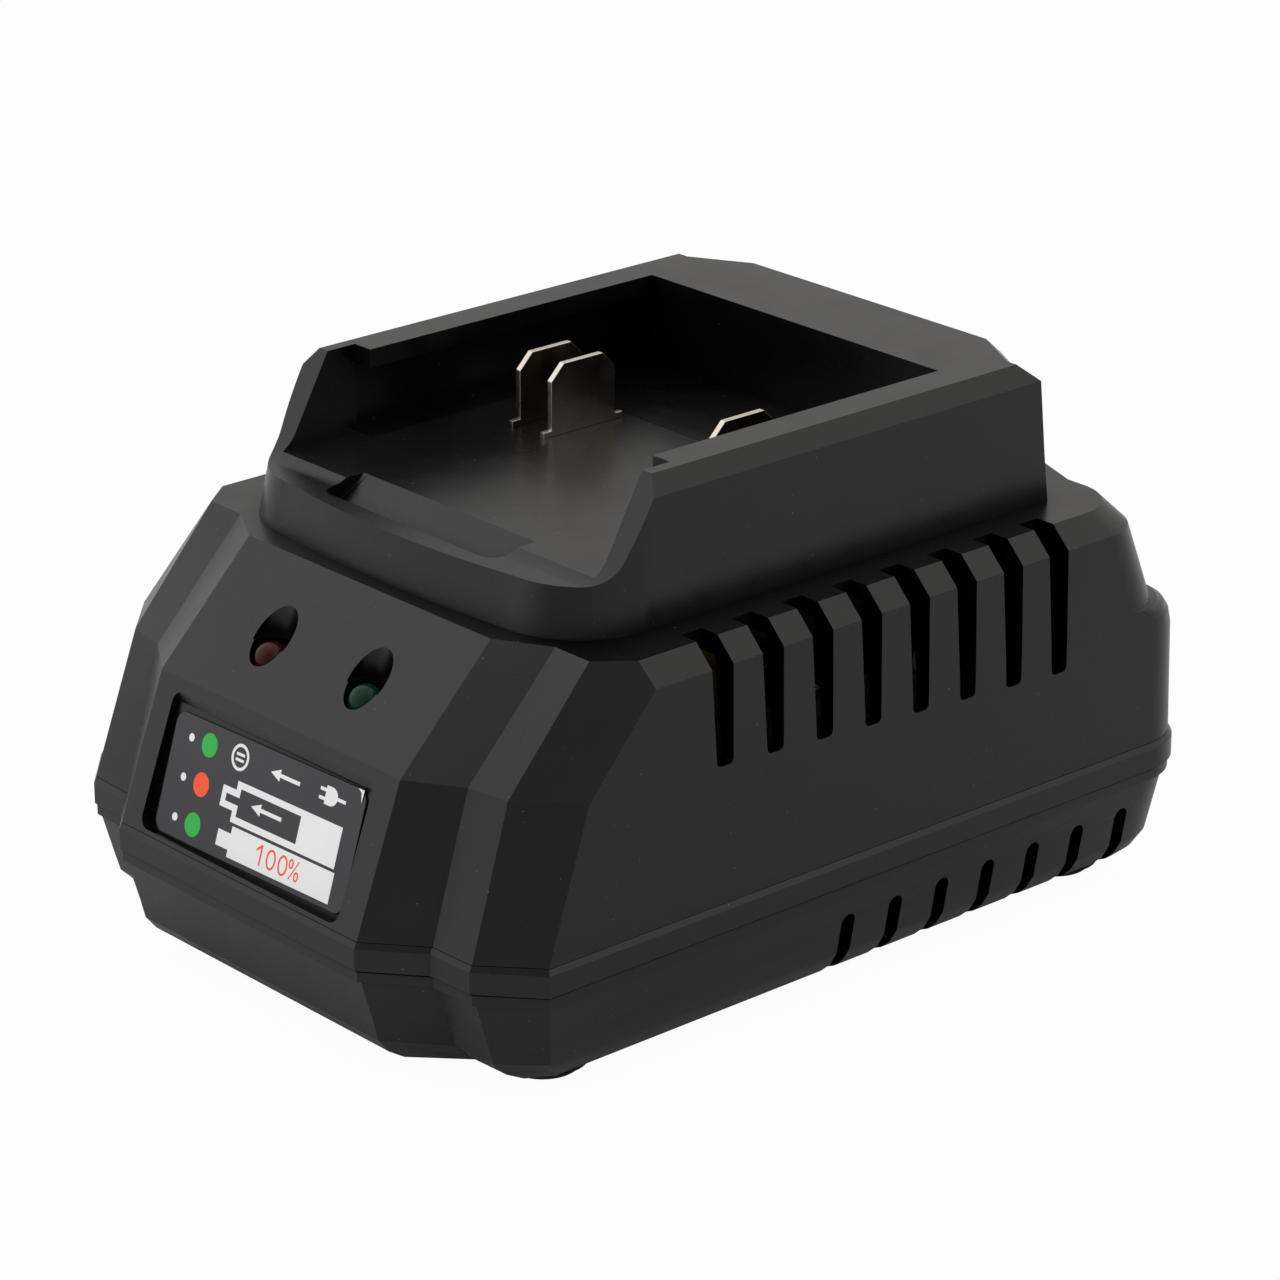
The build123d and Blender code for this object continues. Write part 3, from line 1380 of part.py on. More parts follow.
with BuildPart() as heat_sink_screws:
    for place_y in device_y.values():
        head_x = sink_x - tab_thickness
        with BuildSketch(Plane.YZ.offset(head_x)):
            with Locations((place_y, tab_top_z - device_screw_drop)):
                Circle(device_screw_shank / 2)
        extrude(amount=tab_thickness + sink_plate + 0.5)
        with BuildSketch(Plane.YZ.offset(head_x)):
            with Locations((place_y, tab_top_z - device_screw_drop)):
                Circle(device_screw_head / 2)
        extrude(amount=-device_screw_head_height)
        with BuildSketch(Plane.YZ.offset(head_x - device_screw_head_height)):
            with Locations((place_y, tab_top_z - device_screw_drop)):
                Rectangle(0.55 * device_screw_head, 0.14 * device_screw_head)
                Rectangle(0.14 * device_screw_head, 0.55 * device_screw_head)
        extrude(amount=0.5 * device_screw_head_height, mode=Mode.SUBTRACT)
write(heat_sink_screws.part, "heat_sink_screws")


# ================================================================ chips and wire headers

for name, (chip_x, chip_y, width, length, height), leg_count in (
    ("optocoupler", optocoupler, optocoupler_leg_count),
    ("control_chip", control_chip, control_chip_leg_count),
):
    with BuildPart() as chip:
        with BuildSketch(Plane.XY.offset(board_top_z + chip_rise)):
            with Locations((chip_x, chip_y)):
                Rectangle(width, length)
        extrude(amount=height)
        chamfer(chip.edges().group_by(Axis.Z)[-1], 0.4)
        add_legs(
            [
                (
                    chip_x + side * (width / 2 - leg / 2),
                    chip_y + (step - (leg_count - 1) / 2) * chip_leg_pitch,
                )
                for side in (-1, 1)
                for step in range(leg_count)
            ],
            board_top_z + chip_rise + 0.5,
        )
    write(chip.part, name)


def header_pins(header, pin_count):
    """Plan places of the pins of a wire header."""
    header_x, header_y = header
    return [
        (header_x + (step - (pin_count - 1) / 2) * header_pitch, header_y)
        for step in range(pin_count)
    ]


for name, header, pin_count in (
    ("mains_header", mains_header, mains_header_pin_count),
    ("output_header", output_header, output_header_pin_count),
    ("lamp_header", lamp_header, lamp_header_pin_count),
):
    header_x, header_y = header
    with BuildPart() as wire_header:
        length = pin_count * header_pitch + 2 * header_wall
        with BuildSketch(Plane.XY.offset(board_top_z)):
            with Locations((header_x, header_y)):
                Rectangle(length, header_depth)
        extrude(amount=header_height)
        with BuildSketch(Plane.XY.offset(board_top_z + header_floor)):
            with Locations((header_x, header_y)):
                Rectangle(length - 2 * header_wall, header_depth - 2 * header_wall)
        extrude(amount=header_height, mode=Mode.SUBTRACT)
        with BuildSketch(Plane.XY.offset(board_top_z + header_floor)):
            with Locations(*header_pins(header, pin_count)):
                Circle(leg / 2)
        extrude(amount=header_pin_z - board_top_z - header_floor)
    write(wire_header.part, name)


# ================================================================ leads

output_pins = header_pins(output_header, output_header_pin_count)
for (place, blade_x), (pin_x, pin_y) in zip(blade_places.items(), output_pins):
    with BuildPart() as contact_lead:
        with BuildLine() as route:
            FilletPolyline(
                (pin_x, pin_y, header_pin_z),
                (pin_x, pin_y, lead_low_z),
                (blade_x, blade_y, lead_low_z - 1.5),
                (blade_x, blade_y, block_z - blade_tail_length),
                radius=lead_bend,
            )
        with BuildSketch(Plane(route.line @ 0, z_dir=route.line % 0)):
            Circle(lead_diameter / 2)
        sweep()
    write(contact_lead.part, f"contact_lead_{place}")

with BuildPart() as lamp_lead:
    with BuildLine() as route:
        FilletPolyline(
            (lamp_header[0], lamp_header[1], header_pin_z),
            (lamp_header[0], lamp_header[1], ribbon_low_z),
            (lamp_header[0], lamp_y, ribbon_low_z - 1.0),
            (lamp_header[0], lamp_y, lamp_base_z - board_thickness),
            radius=ribbon_bend,
        )
    with BuildSketch(Plane(route.line @ 0, x_dir=(1, 0, 0), z_dir=route.line % 0)):
        Rectangle(lamp_header_pin_count * header_pitch - 2 * header_wall, ribbon_thickness)
    sweep()
write(lamp_lead.part, "lamp_lead")
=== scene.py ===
"""Looks of a power tool battery charger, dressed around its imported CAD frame."""

import logging
from contextlib import contextmanager
from dataclasses import dataclass, replace
from enum import Enum
from math import cos, pi, radians, sin
from typing import Any, Callable, Iterator, Optional, Sequence

import bpy
from mathutils import Matrix, Vector


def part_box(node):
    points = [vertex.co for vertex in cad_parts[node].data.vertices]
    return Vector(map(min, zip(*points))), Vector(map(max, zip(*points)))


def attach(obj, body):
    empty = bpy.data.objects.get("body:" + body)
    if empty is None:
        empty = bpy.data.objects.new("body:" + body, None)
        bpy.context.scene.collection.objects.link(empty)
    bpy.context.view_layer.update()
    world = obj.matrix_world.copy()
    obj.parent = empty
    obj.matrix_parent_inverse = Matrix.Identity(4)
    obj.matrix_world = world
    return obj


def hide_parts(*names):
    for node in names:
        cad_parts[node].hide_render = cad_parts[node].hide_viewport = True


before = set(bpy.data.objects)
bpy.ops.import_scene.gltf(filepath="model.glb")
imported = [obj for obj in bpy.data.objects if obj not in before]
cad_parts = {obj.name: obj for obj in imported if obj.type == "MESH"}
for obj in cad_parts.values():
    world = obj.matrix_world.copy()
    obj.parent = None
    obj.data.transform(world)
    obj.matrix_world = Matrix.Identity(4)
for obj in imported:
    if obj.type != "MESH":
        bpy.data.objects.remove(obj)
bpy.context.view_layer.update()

log = logging.getLogger("charger")

Piece = bpy.types.Object
Tree = bpy.types.NodeTree
Socket = bpy.types.NodeSocket

BODY = "root"
MM = 0.001


def linear(colour: str) -> tuple[float, float, float, float]:
    """Turn an sRGB hex colour into the linear RGBA that Blender's sockets take.

    Args:
        colour: six hex digits, with or without a leading hash.

    Returns:
        Linear red, green and blue, and an alpha of 1.
    """
    digits = colour.lstrip("#")
    channels = [int(digits[place:place + 2], 16) / 255.0 for place in (0, 2, 4)]
    red, green, blue = (
        c / 12.92 if c <= 0.04045 else ((c + 0.055) / 1.055) ** 2.4 for c in channels
    )
    return red, green, blue, 1.0


def set_inputs(tree: Tree, node: bpy.types.Node, inputs: dict[Any, Any]) -> None:
    """Give a node its inputs.

    Args:
        tree: the tree that it stands in.
        node: the node.
        inputs: constants, or sockets to link, by input name or index.
    """
    for name, value in inputs.items():
        if isinstance(value, Socket):
            tree.links.new(value, node.inputs[name])
        else:
            node.inputs[name].default_value = value


def add_node(
    tree: Tree, kind: str, inputs: Optional[dict[Any, Any]] = None, **settings: Any
) -> bpy.types.Node:
    """Add one node with its settings and inputs.

    Args:
        tree: node tree that gets the node.
        kind: Blender's name of the node type.
        inputs: constants, or sockets to link, by input name or index.
        settings: properties of the node itself.

    Returns:
        The new node.
    """
    node = tree.nodes.new(kind)
    for name, value in settings.items():
        setattr(node, name, value)
    set_inputs(tree, node, inputs or {})
    return node


def add_noise(
    tree: Tree, place: Socket, size_mm: float, detail: float, roughness: float = 0.5
) -> Socket:
    """Return a noise pattern of this size."""
    inputs = {
        "Vector": place, "Scale": 1.0 / (size_mm * MM), "Detail": detail, "Roughness": roughness,
    }
    return add_node(tree, "ShaderNodeTexNoise", inputs).outputs["Fac"]


def add_range(
    tree: Tree, value: Socket, source: tuple[float, float],
    target: tuple[float, float] = (0.0, 1.0), course: str = "LINEAR",
) -> Socket:
    """Carry a value over from one range to another, and hold it at the ends.

    Args:
        tree: node tree that gets the node.
        value: the value that is carried over.
        source: both ends of its range.
        target: what they turn into.
        course: Blender's name of the way from end to end.

    Returns:
        The new value.
    """
    inputs = {
        "Value": value, "From Min": source[0], "From Max": source[1],
        "To Min": target[0], "To Max": target[1],
    }
    carried = add_node(tree, "ShaderNodeMapRange", inputs, interpolation_type=course)
    return carried.outputs["Result"]


def add_math(tree: Tree, operation: str, *values: Any) -> Socket:
    """Return the result of an operation on constants or sockets."""
    inputs = dict(enumerate(values))
    return add_node(tree, "ShaderNodeMath", inputs, operation=operation).outputs[0]


def add_mix(tree: Tree, share: Socket, low: Any, high: Any) -> Socket:
    """Return a mix of two colours, each a constant or a socket."""
    factor, first, second, result = 0, 6, 7, 2      # the colour sockets of a Mix node
    inputs = {factor: share, first: low, second: high}
    return add_node(tree, "ShaderNodeMix", inputs, data_type="RGBA").outputs[result]


def seen_share(tree: Tree) -> Socket:
    """Return 1 for what the camera sees, also through a clear piece, and 0 for the rest."""
    path = add_node(tree, "ShaderNodeLightPath").outputs
    return add_math(tree, "MAXIMUM", path["Is Camera Ray"], path["Is Transmission Ray"])


WHITE = linear("#ffffff")
PATCH_LEVELS = (0.35, 0.65)     # noise levels between which the colour drifts
GLOSS_LEVELS = (0.3, 0.7)       # noise levels between which the roughness wanders
GLOSS_SHARE = 0.6               # size of the gloss pattern, by that of the colour
SPECK_MM = 0.5                  # real dust is finer, and would not show in a render
SPECK_LEVELS = (0.80, 0.86)     # noise levels between which a speck sets in
SPECK_COVER = 0.5               # how much a speck hides of what lies below
DUST_COLOUR = "#8c8a86"
OPEN_LEVELS = (0.35, 0.95)      # share of open sky in a corner, and on open ground
SHADE_SAMPLES = 4
FULL_SHINE, SHADED_CORNER_SHINE, SEAM_SHINE = 0.5, 0.1, 0.05   # specular levels


@dataclass(frozen=True)
class Finish:
    """A finish: one Principled surface with a mottled colour, a grain and uneven gloss.

    Attributes:
        name: name of the material.
        colour: base colour, sRGB hex.
        tint: second colour that slow patches drift towards.
        patch_mm: size of those patches.
        drift: how far the colour drifts, from 0 to 1.
        roughness: middle roughness.
        uneven: how much the roughness wanders around it.
        grain_mm: size and height of the surface grain.
        stretch: how much longer the grain is along Z than across it.
        metallic: 1 for bare metal, which takes no index of refraction.
        ior: index of refraction.
        transmission: how much light goes through.
        sheen: soft bloom of a dusty or fibrous surface.
        coat: clear lacquer over the colour.
        dust: share of the surface under specks of dust.
        shade_mm: reach of the painted shade in inner corners, which weakens the reflections
            there; none if 0.
        seams_mm: levels of dark joint lines, each with half its width; only with a shade.
    """

    name: str
    colour: str
    tint: str
    patch_mm: float = 9.0
    drift: float = 0.5
    roughness: float = 0.5
    uneven: float = 0.06
    grain_mm: tuple[float, float] = (0.35, 0.01)
    stretch: float = 1.0
    metallic: float = 0.0
    ior: float = 1.5
    transmission: float = 0.0
    sheen: float = 0.0
    coat: float = 0.0
    dust: float = 0.0
    shade_mm: float = 0.0
    seams_mm: tuple[tuple[float, float], ...] = ()

    def material(self) -> bpy.types.Material:
        """Return the material, which is built once."""
        made = bpy.data.materials.get(self.name)
        if made is not None:
            return made
        made = bpy.data.materials.new(self.name)
        made.use_nodes = True
        tree = made.node_tree
        surface = next(n for n in tree.nodes if n.type == "BSDF_PRINCIPLED")
        place = add_node(tree, "ShaderNodeTexCoord").outputs["Object"]
        inputs = {
            "Base Color": self._colour(tree, place), "Roughness": self._gloss(tree, place),
            "Normal": self._relief(tree, place), "Metallic": self.metallic,
            "Transmission Weight": self.transmission, "Sheen Weight": self.sheen,
            "Coat Weight": self.coat,
        }
        if self.metallic == 0.0:
            inputs["IOR"] = self.ior
        if self.shade_mm:
            inputs["Specular IOR Level"] = self._shine(tree, place)
        set_inputs(tree, surface, inputs)
        return made

    def _colour(self, tree: Tree, place: Socket) -> Socket:
        """Mix the base colour: two tones in slow patches, with specks of dust on top.

        Args:
            tree: the material's tree.
            place: place on the object.

        Returns:
            The colour.
        """
        patches = add_noise(tree, place, self.patch_mm, 3.0, 0.55)
        share = add_range(tree, patches, PATCH_LEVELS, (0.0, self.drift))
        toned = add_mix(tree, share, linear(self.colour), linear(self.tint))
        if self.dust == 0.0:
            return toned
        specks = add_noise(tree, place, SPECK_MM, 1.0)
        low, high = (level - self.dust for level in SPECK_LEVELS)
        settled = add_range(tree, specks, (low, high), (0.0, SPECK_COVER))
        return add_mix(tree, settled, toned, linear(DUST_COLOUR))

    def _gloss(self, tree: Tree, place: Socket) -> Socket:
        """Return the roughness, which wanders with handling."""
        wander = add_noise(tree, place, self.patch_mm * GLOSS_SHARE, 2.0)
        ends = (self.roughness - self.uneven, self.roughness + self.uneven)
        return add_range(tree, wander, GLOSS_LEVELS, ends)

    def _shine(self, tree: Tree, place: Socket) -> Socket:
        """Weaken the reflections in inner corners, as painted shade, and on joint lines.

        Args:
            tree: the material's tree.
            place: place on the object.

        Returns:
            The specular level.
        """
        level = add_node(tree, "ShaderNodeSeparateXYZ", {0: place}).outputs["Z"]
        # Painted shade: ambient occlusion lowers the specular level in inner corners, so that
        # they reflect less and look darker.
        reach = {"Distance": self.shade_mm * MM}
        sky = add_node(tree, "ShaderNodeAmbientOcclusion", reach, samples=SHADE_SAMPLES)
        shine = add_range(tree, sky.outputs["AO"], OPEN_LEVELS, (SHADED_CORNER_SHINE, FULL_SHINE))
        for height, half in self.seams_mm:
            inside = add_math(tree, "COMPARE", level, height * MM, half * MM)
            left = add_math(tree, "MULTIPLY_ADD", inside, SEAM_SHINE - FULL_SHINE, FULL_SHINE)
            shine = add_math(tree, "MINIMUM", shine, left)
        return shine

    def _relief(self, tree: Tree, place: Socket) -> Socket:
        """Raise the surface grain.

        Args:
            tree: the material's tree.
            place: place on the object.

        Returns:
            The normal of the grain.
        """
        size, height = self.grain_mm
        drawn = {"Vector": place, "Scale": (1.0, 1.0, 1.0 / self.stretch)}
        place = add_node(tree, "ShaderNodeMapping", drawn).outputs["Vector"]
        grain = add_noise(tree, place, size, 2.0, 0.6)
        raised = {"Height": grain, "Strength": 1.0, "Distance": height * MM}
        return add_node(tree, "ShaderNodeBump", raised).outputs["Normal"]


# Black ABS from a spark-eroded tool: an even, dull grain, with painted shade that weakens its
# reflections in inner corners.
ERODED_ABS = Finish(
    "eroded black ABS", "#030304", "#040404", patch_mm=14.0, drift=0.6, roughness=0.28,
    uneven=0.03, grain_mm=(0.4, 0.016), ior=1.52, dust=0.014, shade_mm=5.0,
)
# The same ABS from a polished tool, for the bay's floor.
POLISHED_ABS = Finish(
    "polished black ABS", "#030303", "#040404", patch_mm=11.0, drift=0.7, roughness=0.27,
    uneven=0.02, grain_mm=(0.7, 0.003), ior=1.52, dust=0.03,
)
# The same ABS on both housings, with the same painted shade in inner corners, and the dark lines
# of the joint and the band above it.
JOINTED_ABS = replace(
    ERODED_ABS, name="eroded black ABS with joints", seams_mm=((17.8, 0.15), (22.1, 0.05)),
)
# Glass-filled nylon: dull, slightly cloudy with fibres at the skin.
FILLED_NYLON = Finish(
    "glass-filled nylon", "#232325", "#2d2d30", patch_mm=3.0, roughness=0.55,
    grain_mm=(0.5, 0.012), ior=1.53,
)
# Solid black rubber: a soft, slightly greyed surface.
MOULDED_RUBBER = Finish(
    "moulded rubber", "#171717", "#202020", patch_mm=4.0, roughness=0.75, grain_mm=(0.5, 0.02),
    ior=1.52, sheen=0.15, dust=0.04,
)
# Printed polyester film: satin, with a faint orange peel from the glue below.
PRINTED_FILM = Finish(
    "printed film ground", "#201f23", "#242327", patch_mm=12.0, roughness=0.17, uneven=0.03,
    grain_mm=(2.4, 0.004), ior=1.56, dust=0.01,
)
# Epoxy of the lamps: deep in colour, cast smooth, with a hazy skin.
RED_EPOXY = Finish(
    "red lamp epoxy", "#340807", "#3c0b0a", patch_mm=1.6, roughness=0.16, uneven=0.03,
    grain_mm=(0.9, 0.004), ior=1.3, transmission=0.05,
)
GREEN_EPOXY = replace(RED_EPOXY, name="green lamp epoxy", colour="#03281a", tint="#053121")
# Screen ink: an even, matt layer.
WHITE_INK = Finish(
    "white screen ink", "#f3f3f4", "#ededef", patch_mm=8.0, roughness=0.42, uneven=0.02,
    grain_mm=(0.5, 0.002),
)
COLOUR_INK = replace(WHITE_INK, patch_mm=3.0)
GREEN_INK = replace(COLOUR_INK, name="green screen ink", colour="#1fb443", tint="#25b949")
ORANGE_INK = replace(COLOUR_INK, name="orange screen ink", colour="#ff5424", tint="#ff5a2b")
# Tin over brass, stamped: fine draw lines down the blade and a warm grey shine, its grey kept
# darker than bare tin as painted shade on the flat sides.
TIN_PLATE = Finish(
    "tin plated blade", "#a0978a", "#8c8377", patch_mm=5.0, drift=0.6, roughness=0.24,
    uneven=0.04, grain_mm=(0.18, 0.003), stretch=12.0, metallic=1.0,
)
# The sheared edge of the blade, bright where the tool cut and burnished it, and near-white beyond
# that as a painted highlight along the rim.
SHEARED_EDGE = Finish(
    "sheared blade edge", "#efe6d8", "#dccfbb", patch_mm=2.0, roughness=0.3, uneven=0.05,
    grain_mm=(0.2, 0.004), metallic=1.0,
)
# Zinc plated steel screws: bluish grey with a cloudy plating.
ZINC_STEEL = Finish(
    "zinc plated steel", "#a9adb2", "#8d9196", patch_mm=1.5, roughness=0.33,
    grain_mm=(0.2, 0.003), metallic=1.0,
)
# Solder mask over glass epoxy: glossy green with the weave just showing.
SOLDER_MASK = Finish(
    "green solder mask", "#1d5a34", "#256b3f", patch_mm=5.0, roughness=0.3, grain_mm=(0.8, 0.006),
    ior=1.55, coat=0.3,
)
# Sintered ferrite: dark grey ceramic, ground dull.
FERRITE = Finish(
    "sintered ferrite", "#2e2e30", "#3b3a3b", patch_mm=2.0, roughness=0.62, grain_mm=(0.3, 0.015),
    ior=2.0,
)
# Polyester winding tape, wound in laps that show as fine steps; its dark brown is painted shade,
# so that it looks as dark as the inside of the housing through the slots.
WINDING_TAPE = Finish(
    "brown winding tape", "#33230f", "#291c0d", patch_mm=4.0, roughness=0.35,
    grain_mm=(1.2, 0.02), ior=1.6, coat=0.2,
)
# Enamelled copper wire: dark orange metal under varnish.
ENAMELLED_COPPER = Finish(
    "enamelled copper", "#b5633a", "#9a4e2c", patch_mm=1.5, roughness=0.28, grain_mm=(0.4, 0.01),
    metallic=1.0, coat=0.5,
)
# PVC shrink sleeve over the capacitor can.
SHRINK_SLEEVE = Finish(
    "shrink sleeve", "#1d2238", "#242a44", patch_mm=5.0, roughness=0.32, grain_mm=(1.5, 0.01),
    ior=1.53,
)
# Film capacitor box: yellow PBT, moulded dull, its yellow darkened as painted shade for the dark
# inside of the housing.
FILTER_BOX = Finish(
    "yellow capacitor box", "#8f7526", "#846b20", patch_mm=5.0, grain_mm=(0.4, 0.012), ior=1.55,
)
# Dipped varistor epoxy: thick, slightly lumpy blue coat.
DIPPED_EPOXY = Finish(
    "dipped blue epoxy", "#2a5591", "#1f4780", patch_mm=2.5, roughness=0.38, grain_mm=(1.4, 0.05),
    ior=1.55,
)
# Moulding compound of the chips: charcoal with a faint silica sparkle.
CHIP_COMPOUND = Finish(
    "chip moulding compound", "#26262a", "#303036", patch_mm=1.5, grain_mm=(0.2, 0.01), ior=1.55,
)
# Extruded aluminium: pale, with draw lines along the extrusion.
EXTRUDED_ALUMINIUM = Finish(
    "extruded aluminium", "#c9cbcd", "#b4b7ba", patch_mm=6.0, roughness=0.35,
    grain_mm=(0.3, 0.006), stretch=14.0, metallic=1.0,
)
# Natural nylon of the wire headers: milky off-white.
NATURAL_NYLON = Finish(
    "natural nylon", "#e3dfd2", "#d8d3c4", patch_mm=3.0, roughness=0.45, grain_mm=(0.4, 0.01),
    ior=1.53,
)
# Fuse tube: clear glass.
FUSE_GLASS = Finish(
    "fuse glass", "#dfe5e3", "#d3dbd8", patch_mm=3.0, roughness=0.06, uneven=0.02,
    grain_mm=(1.0, 0.002), transmission=0.85,
)
# PVC insulation of the leads: soft gloss with a faint lengthwise flow. The red and the yellow are
# darkened as painted shade, for the dark inside of the housing.
RED_PVC = Finish(
    "red lead insulation", "#4e100f", "#420c0c", patch_mm=4.0, roughness=0.38,
    grain_mm=(0.5, 0.008), stretch=5.0, ior=1.54,
)
BLACK_PVC = replace(RED_PVC, name="black lead insulation", colour="#1d1d1f", tint="#28282a")
# Yellow darkened as painted shade, like the red.
YELLOW_PVC = replace(RED_PVC, name="yellow lead insulation", colour="#4d3d10", tint="#42340d")
GREY_PVC = replace(RED_PVC, name="grey ribbon insulation", colour="#7d8083", tint="#707376")


MERGE_MM = 0.004            # points of the CAD mesh closer than this are one
FLAT_DEG = 0.8              # faces that turn by less than this are one face
SMOOTH_DEG = 40.0           # edges up to this are shaded smooth
LOOKS_UP = 0.9              # a face looks up if its normal rises above this


def only(piece: Piece) -> None:
    """Deselect everything, then select one object and make it active."""
    bpy.ops.object.select_all(action="DESELECT")
    piece.select_set(True)
    bpy.context.view_layer.objects.active = piece


def dress(piece: Piece, finish: Finish) -> None:
    """Put a finish on a CAD node, in its first material slot."""
    if not piece.material_slots:
        piece.data.materials.append(None)
    piece.material_slots[0].link = "OBJECT"
    piece.material_slots[0].material = finish.material()
    log.info("piece %s: %s", piece.name, finish.name)


def finish_mesh(piece: Piece, *finishes: Finish) -> None:
    """Give an own piece's mesh its finishes, one slot each."""
    piece.data.materials.clear()
    for finish in finishes:
        piece.data.materials.append(finish.material())


def settle(piece: Piece, name: str) -> None:
    """Name a finished piece, put its place into its mesh and hang it on the frame.

    Args:
        piece: the finished object.
        name: its name in the table of pieces.
    """
    only(piece)
    bpy.ops.object.transform_apply()
    piece.name = name
    piece.data.name = name
    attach(piece, BODY)
    log.info("piece %s: %d faces", name, len(piece.data.polygons))


def joined(pieces: Sequence[Piece]) -> Piece:
    """Join several own objects.

    Args:
        pieces: one object or more.

    Returns:
        The first one, which holds them all.
    """
    bpy.ops.object.select_all(action="DESELECT")
    for piece in pieces:
        piece.select_set(True)
    bpy.context.view_layer.objects.active = pieces[0]
    if len(pieces) > 1:
        bpy.ops.object.join()
    return pieces[0]


@contextmanager
def edit_mode(everything: bool = False) -> Iterator[None]:
    """Edit the active object's mesh: everything, or the faces that are selected."""
    bpy.ops.object.mode_set(mode="EDIT")
    if everything:
        bpy.ops.mesh.select_all(action="SELECT")
    yield
    bpy.ops.object.mode_set(mode="OBJECT")


def select_faces(piece: Piece, test: Callable[[Any], bool]) -> None:
    """Select the faces that pass a test, in object mode, and nothing else.

    Args:
        piece: the mesh object.
        test: says of a polygon whether it is taken.
    """
    for part in (*piece.data.vertices, *piece.data.edges):
        part.select = False
    for face in piece.data.polygons:
        face.select = test(face)


def apply_all(piece: Piece) -> None:
    """Apply every modifier of an object, in order."""
    only(piece)
    for modifier in list(piece.modifiers):
        bpy.ops.object.modifier_apply(modifier=modifier.name)


def soften(
    piece: Piece, width_mm: float, segments: int = 2, angle: float = 30.0, flatten: bool = True
) -> None:
    """Round the sharp edges of an object and shade it smooth up to an angle.

    Args:
        piece: the mesh object.
        width_mm: width of the rounding.
        segments: faces across the rounding.
        angle: edges sharper than this, in degrees, are rounded.
        flatten: keep large faces flat in the shading, beside their roundings.
    """
    rounding = piece.modifiers.new("rounding", "BEVEL")
    rounding.width = width_mm * MM
    rounding.segments = segments
    rounding.limit_method = "ANGLE"
    rounding.angle_limit = radians(angle)
    rounding.use_clamp_overlap = True
    apply_all(piece)
    bpy.ops.object.shade_smooth_by_angle(angle=radians(SMOOTH_DEG))
    if flatten:
        weighting = piece.modifiers.new("weighting", "WEIGHTED_NORMAL")
        weighting.keep_sharp = True
        apply_all(piece)


def copy_of_node(node: str) -> Piece:
    """Copy a CAD node's mesh, merge its loose triangles and dissolve its flat faces.

    Args:
        node: name of the CAD node.

    Returns:
        A free mesh object with clean faces, in the same place.
    """
    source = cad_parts[node]
    piece = bpy.data.objects.new(f"{node} copy", source.data.copy())
    bpy.context.scene.collection.objects.link(piece)
    only(piece)
    with edit_mode(everything=True):
        bpy.ops.mesh.customdata_custom_splitnormals_clear()
        bpy.ops.mesh.remove_doubles(threshold=MERGE_MM * MM)
        bpy.ops.mesh.dissolve_limited(angle_limit=radians(FLAT_DEG))
    return piece


class Skin(Enum):
    """The two surfaces of a piece, by their places among its materials."""

    PLAIN = 0
    BRIGHT = 1


@dataclass
class Casing:
    """Both housings and the battery cradle: moulded shells with softened edges.

    Attributes:
        edge_mm: rounding that the tool leaves along the outer edges.
        segments: faces across that rounding.
        sharp_deg: edges sharper than this are rounded.
        curved_sharp_deg: the same on the tray, whose curved walls are shaded as one.
        polished_level_mm: levels between which the bay's floor lies.
        polished_half_mm: half width of the polished floor.
        polished_front_mm: front end of the polished floor.
    """

    edge_mm: float = 0.45
    segments: int = 3
    sharp_deg: float = 11.0
    curved_sharp_deg: float = 22.0
    polished_level_mm: tuple[float, float] = (66.2, 67.4)
    polished_half_mm: float = 30.6
    polished_front_mm: float = -34.4

    def build(self) -> None:
        """Make softened copies of the three mouldings and dress them."""
        for node in ("upper_housing", "lower_housing", "battery_cradle"):
            shell = copy_of_node(node)
            curved = node == "lower_housing"
            angle = self.curved_sharp_deg if curved else self.sharp_deg
            soften(shell, self.edge_mm, self.segments, angle, flatten=not curved)
            plain = ERODED_ABS if node == "battery_cradle" else JOINTED_ABS
            finish_mesh(shell, plain, POLISHED_ABS)
            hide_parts(node)
            settle(shell, f"{node}_shell")
            if node == "battery_cradle":
                self._polish(shell)

    def _polish(self, cradle: Piece) -> None:
        """Give the floor of the battery bay the polished finish."""
        low, high = (level * MM for level in self.polished_level_mm)

        def on_floor(face: Any) -> bool:
            """Say whether a face belongs to the floor of the bay."""
            centre = face.center
            return (
                face.normal.z > LOOKS_UP and low < centre.z < high
                and abs(centre.x) < self.polished_half_mm * MM
                and centre.y > self.polished_front_mm * MM
            )

        for face in cradle.data.polygons:
            face.material_index = (Skin.BRIGHT if on_floor(face) else Skin.PLAIN).value


@dataclass
class Contacts:
    """The three tin plated blades, with bright sheared edges.

    Attributes:
        nodes: ends of the blades' node names.
        edge_mm: rounding of the sheared edges.
        sideways: a face belongs to a flat side if its normal passes this.
    """

    nodes: tuple[str, ...] = ("left_outer", "left_inner", "right")
    edge_mm: float = 0.12
    sideways: float = 0.5

    def build(self) -> None:
        """Round the blades, and give their flat sides and sheared edges two finishes."""
        for place in self.nodes:
            node = f"contact_blade_{place}"
            blade = copy_of_node(node)
            finish_mesh(blade, TIN_PLATE, SHEARED_EDGE)
            # Flat sides take the darker tin and thin faces the near-white edge, picked by
            # direction: partly the real plating and cut, partly painted shade and painted
            # highlight.
            for face in blade.data.polygons:
                skin = Skin.BRIGHT if abs(face.normal.x) < self.sideways else Skin.PLAIN
                face.material_index = skin.value
            soften(blade, self.edge_mm)
            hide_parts(node)
            settle(blade, f"blade_{place}")


DISC_STEPS, RING_STEPS, SHELL_STEPS = 40, 36, 14    # points around the printed signs
INK_MERGE_MM = 0.001        # points of a sign closer than this are one


class Ink(Enum):
    """The inks that the label is printed with."""

    WHITE = WHITE_INK
    GREEN = GREEN_INK
    ORANGE = ORANGE_INK


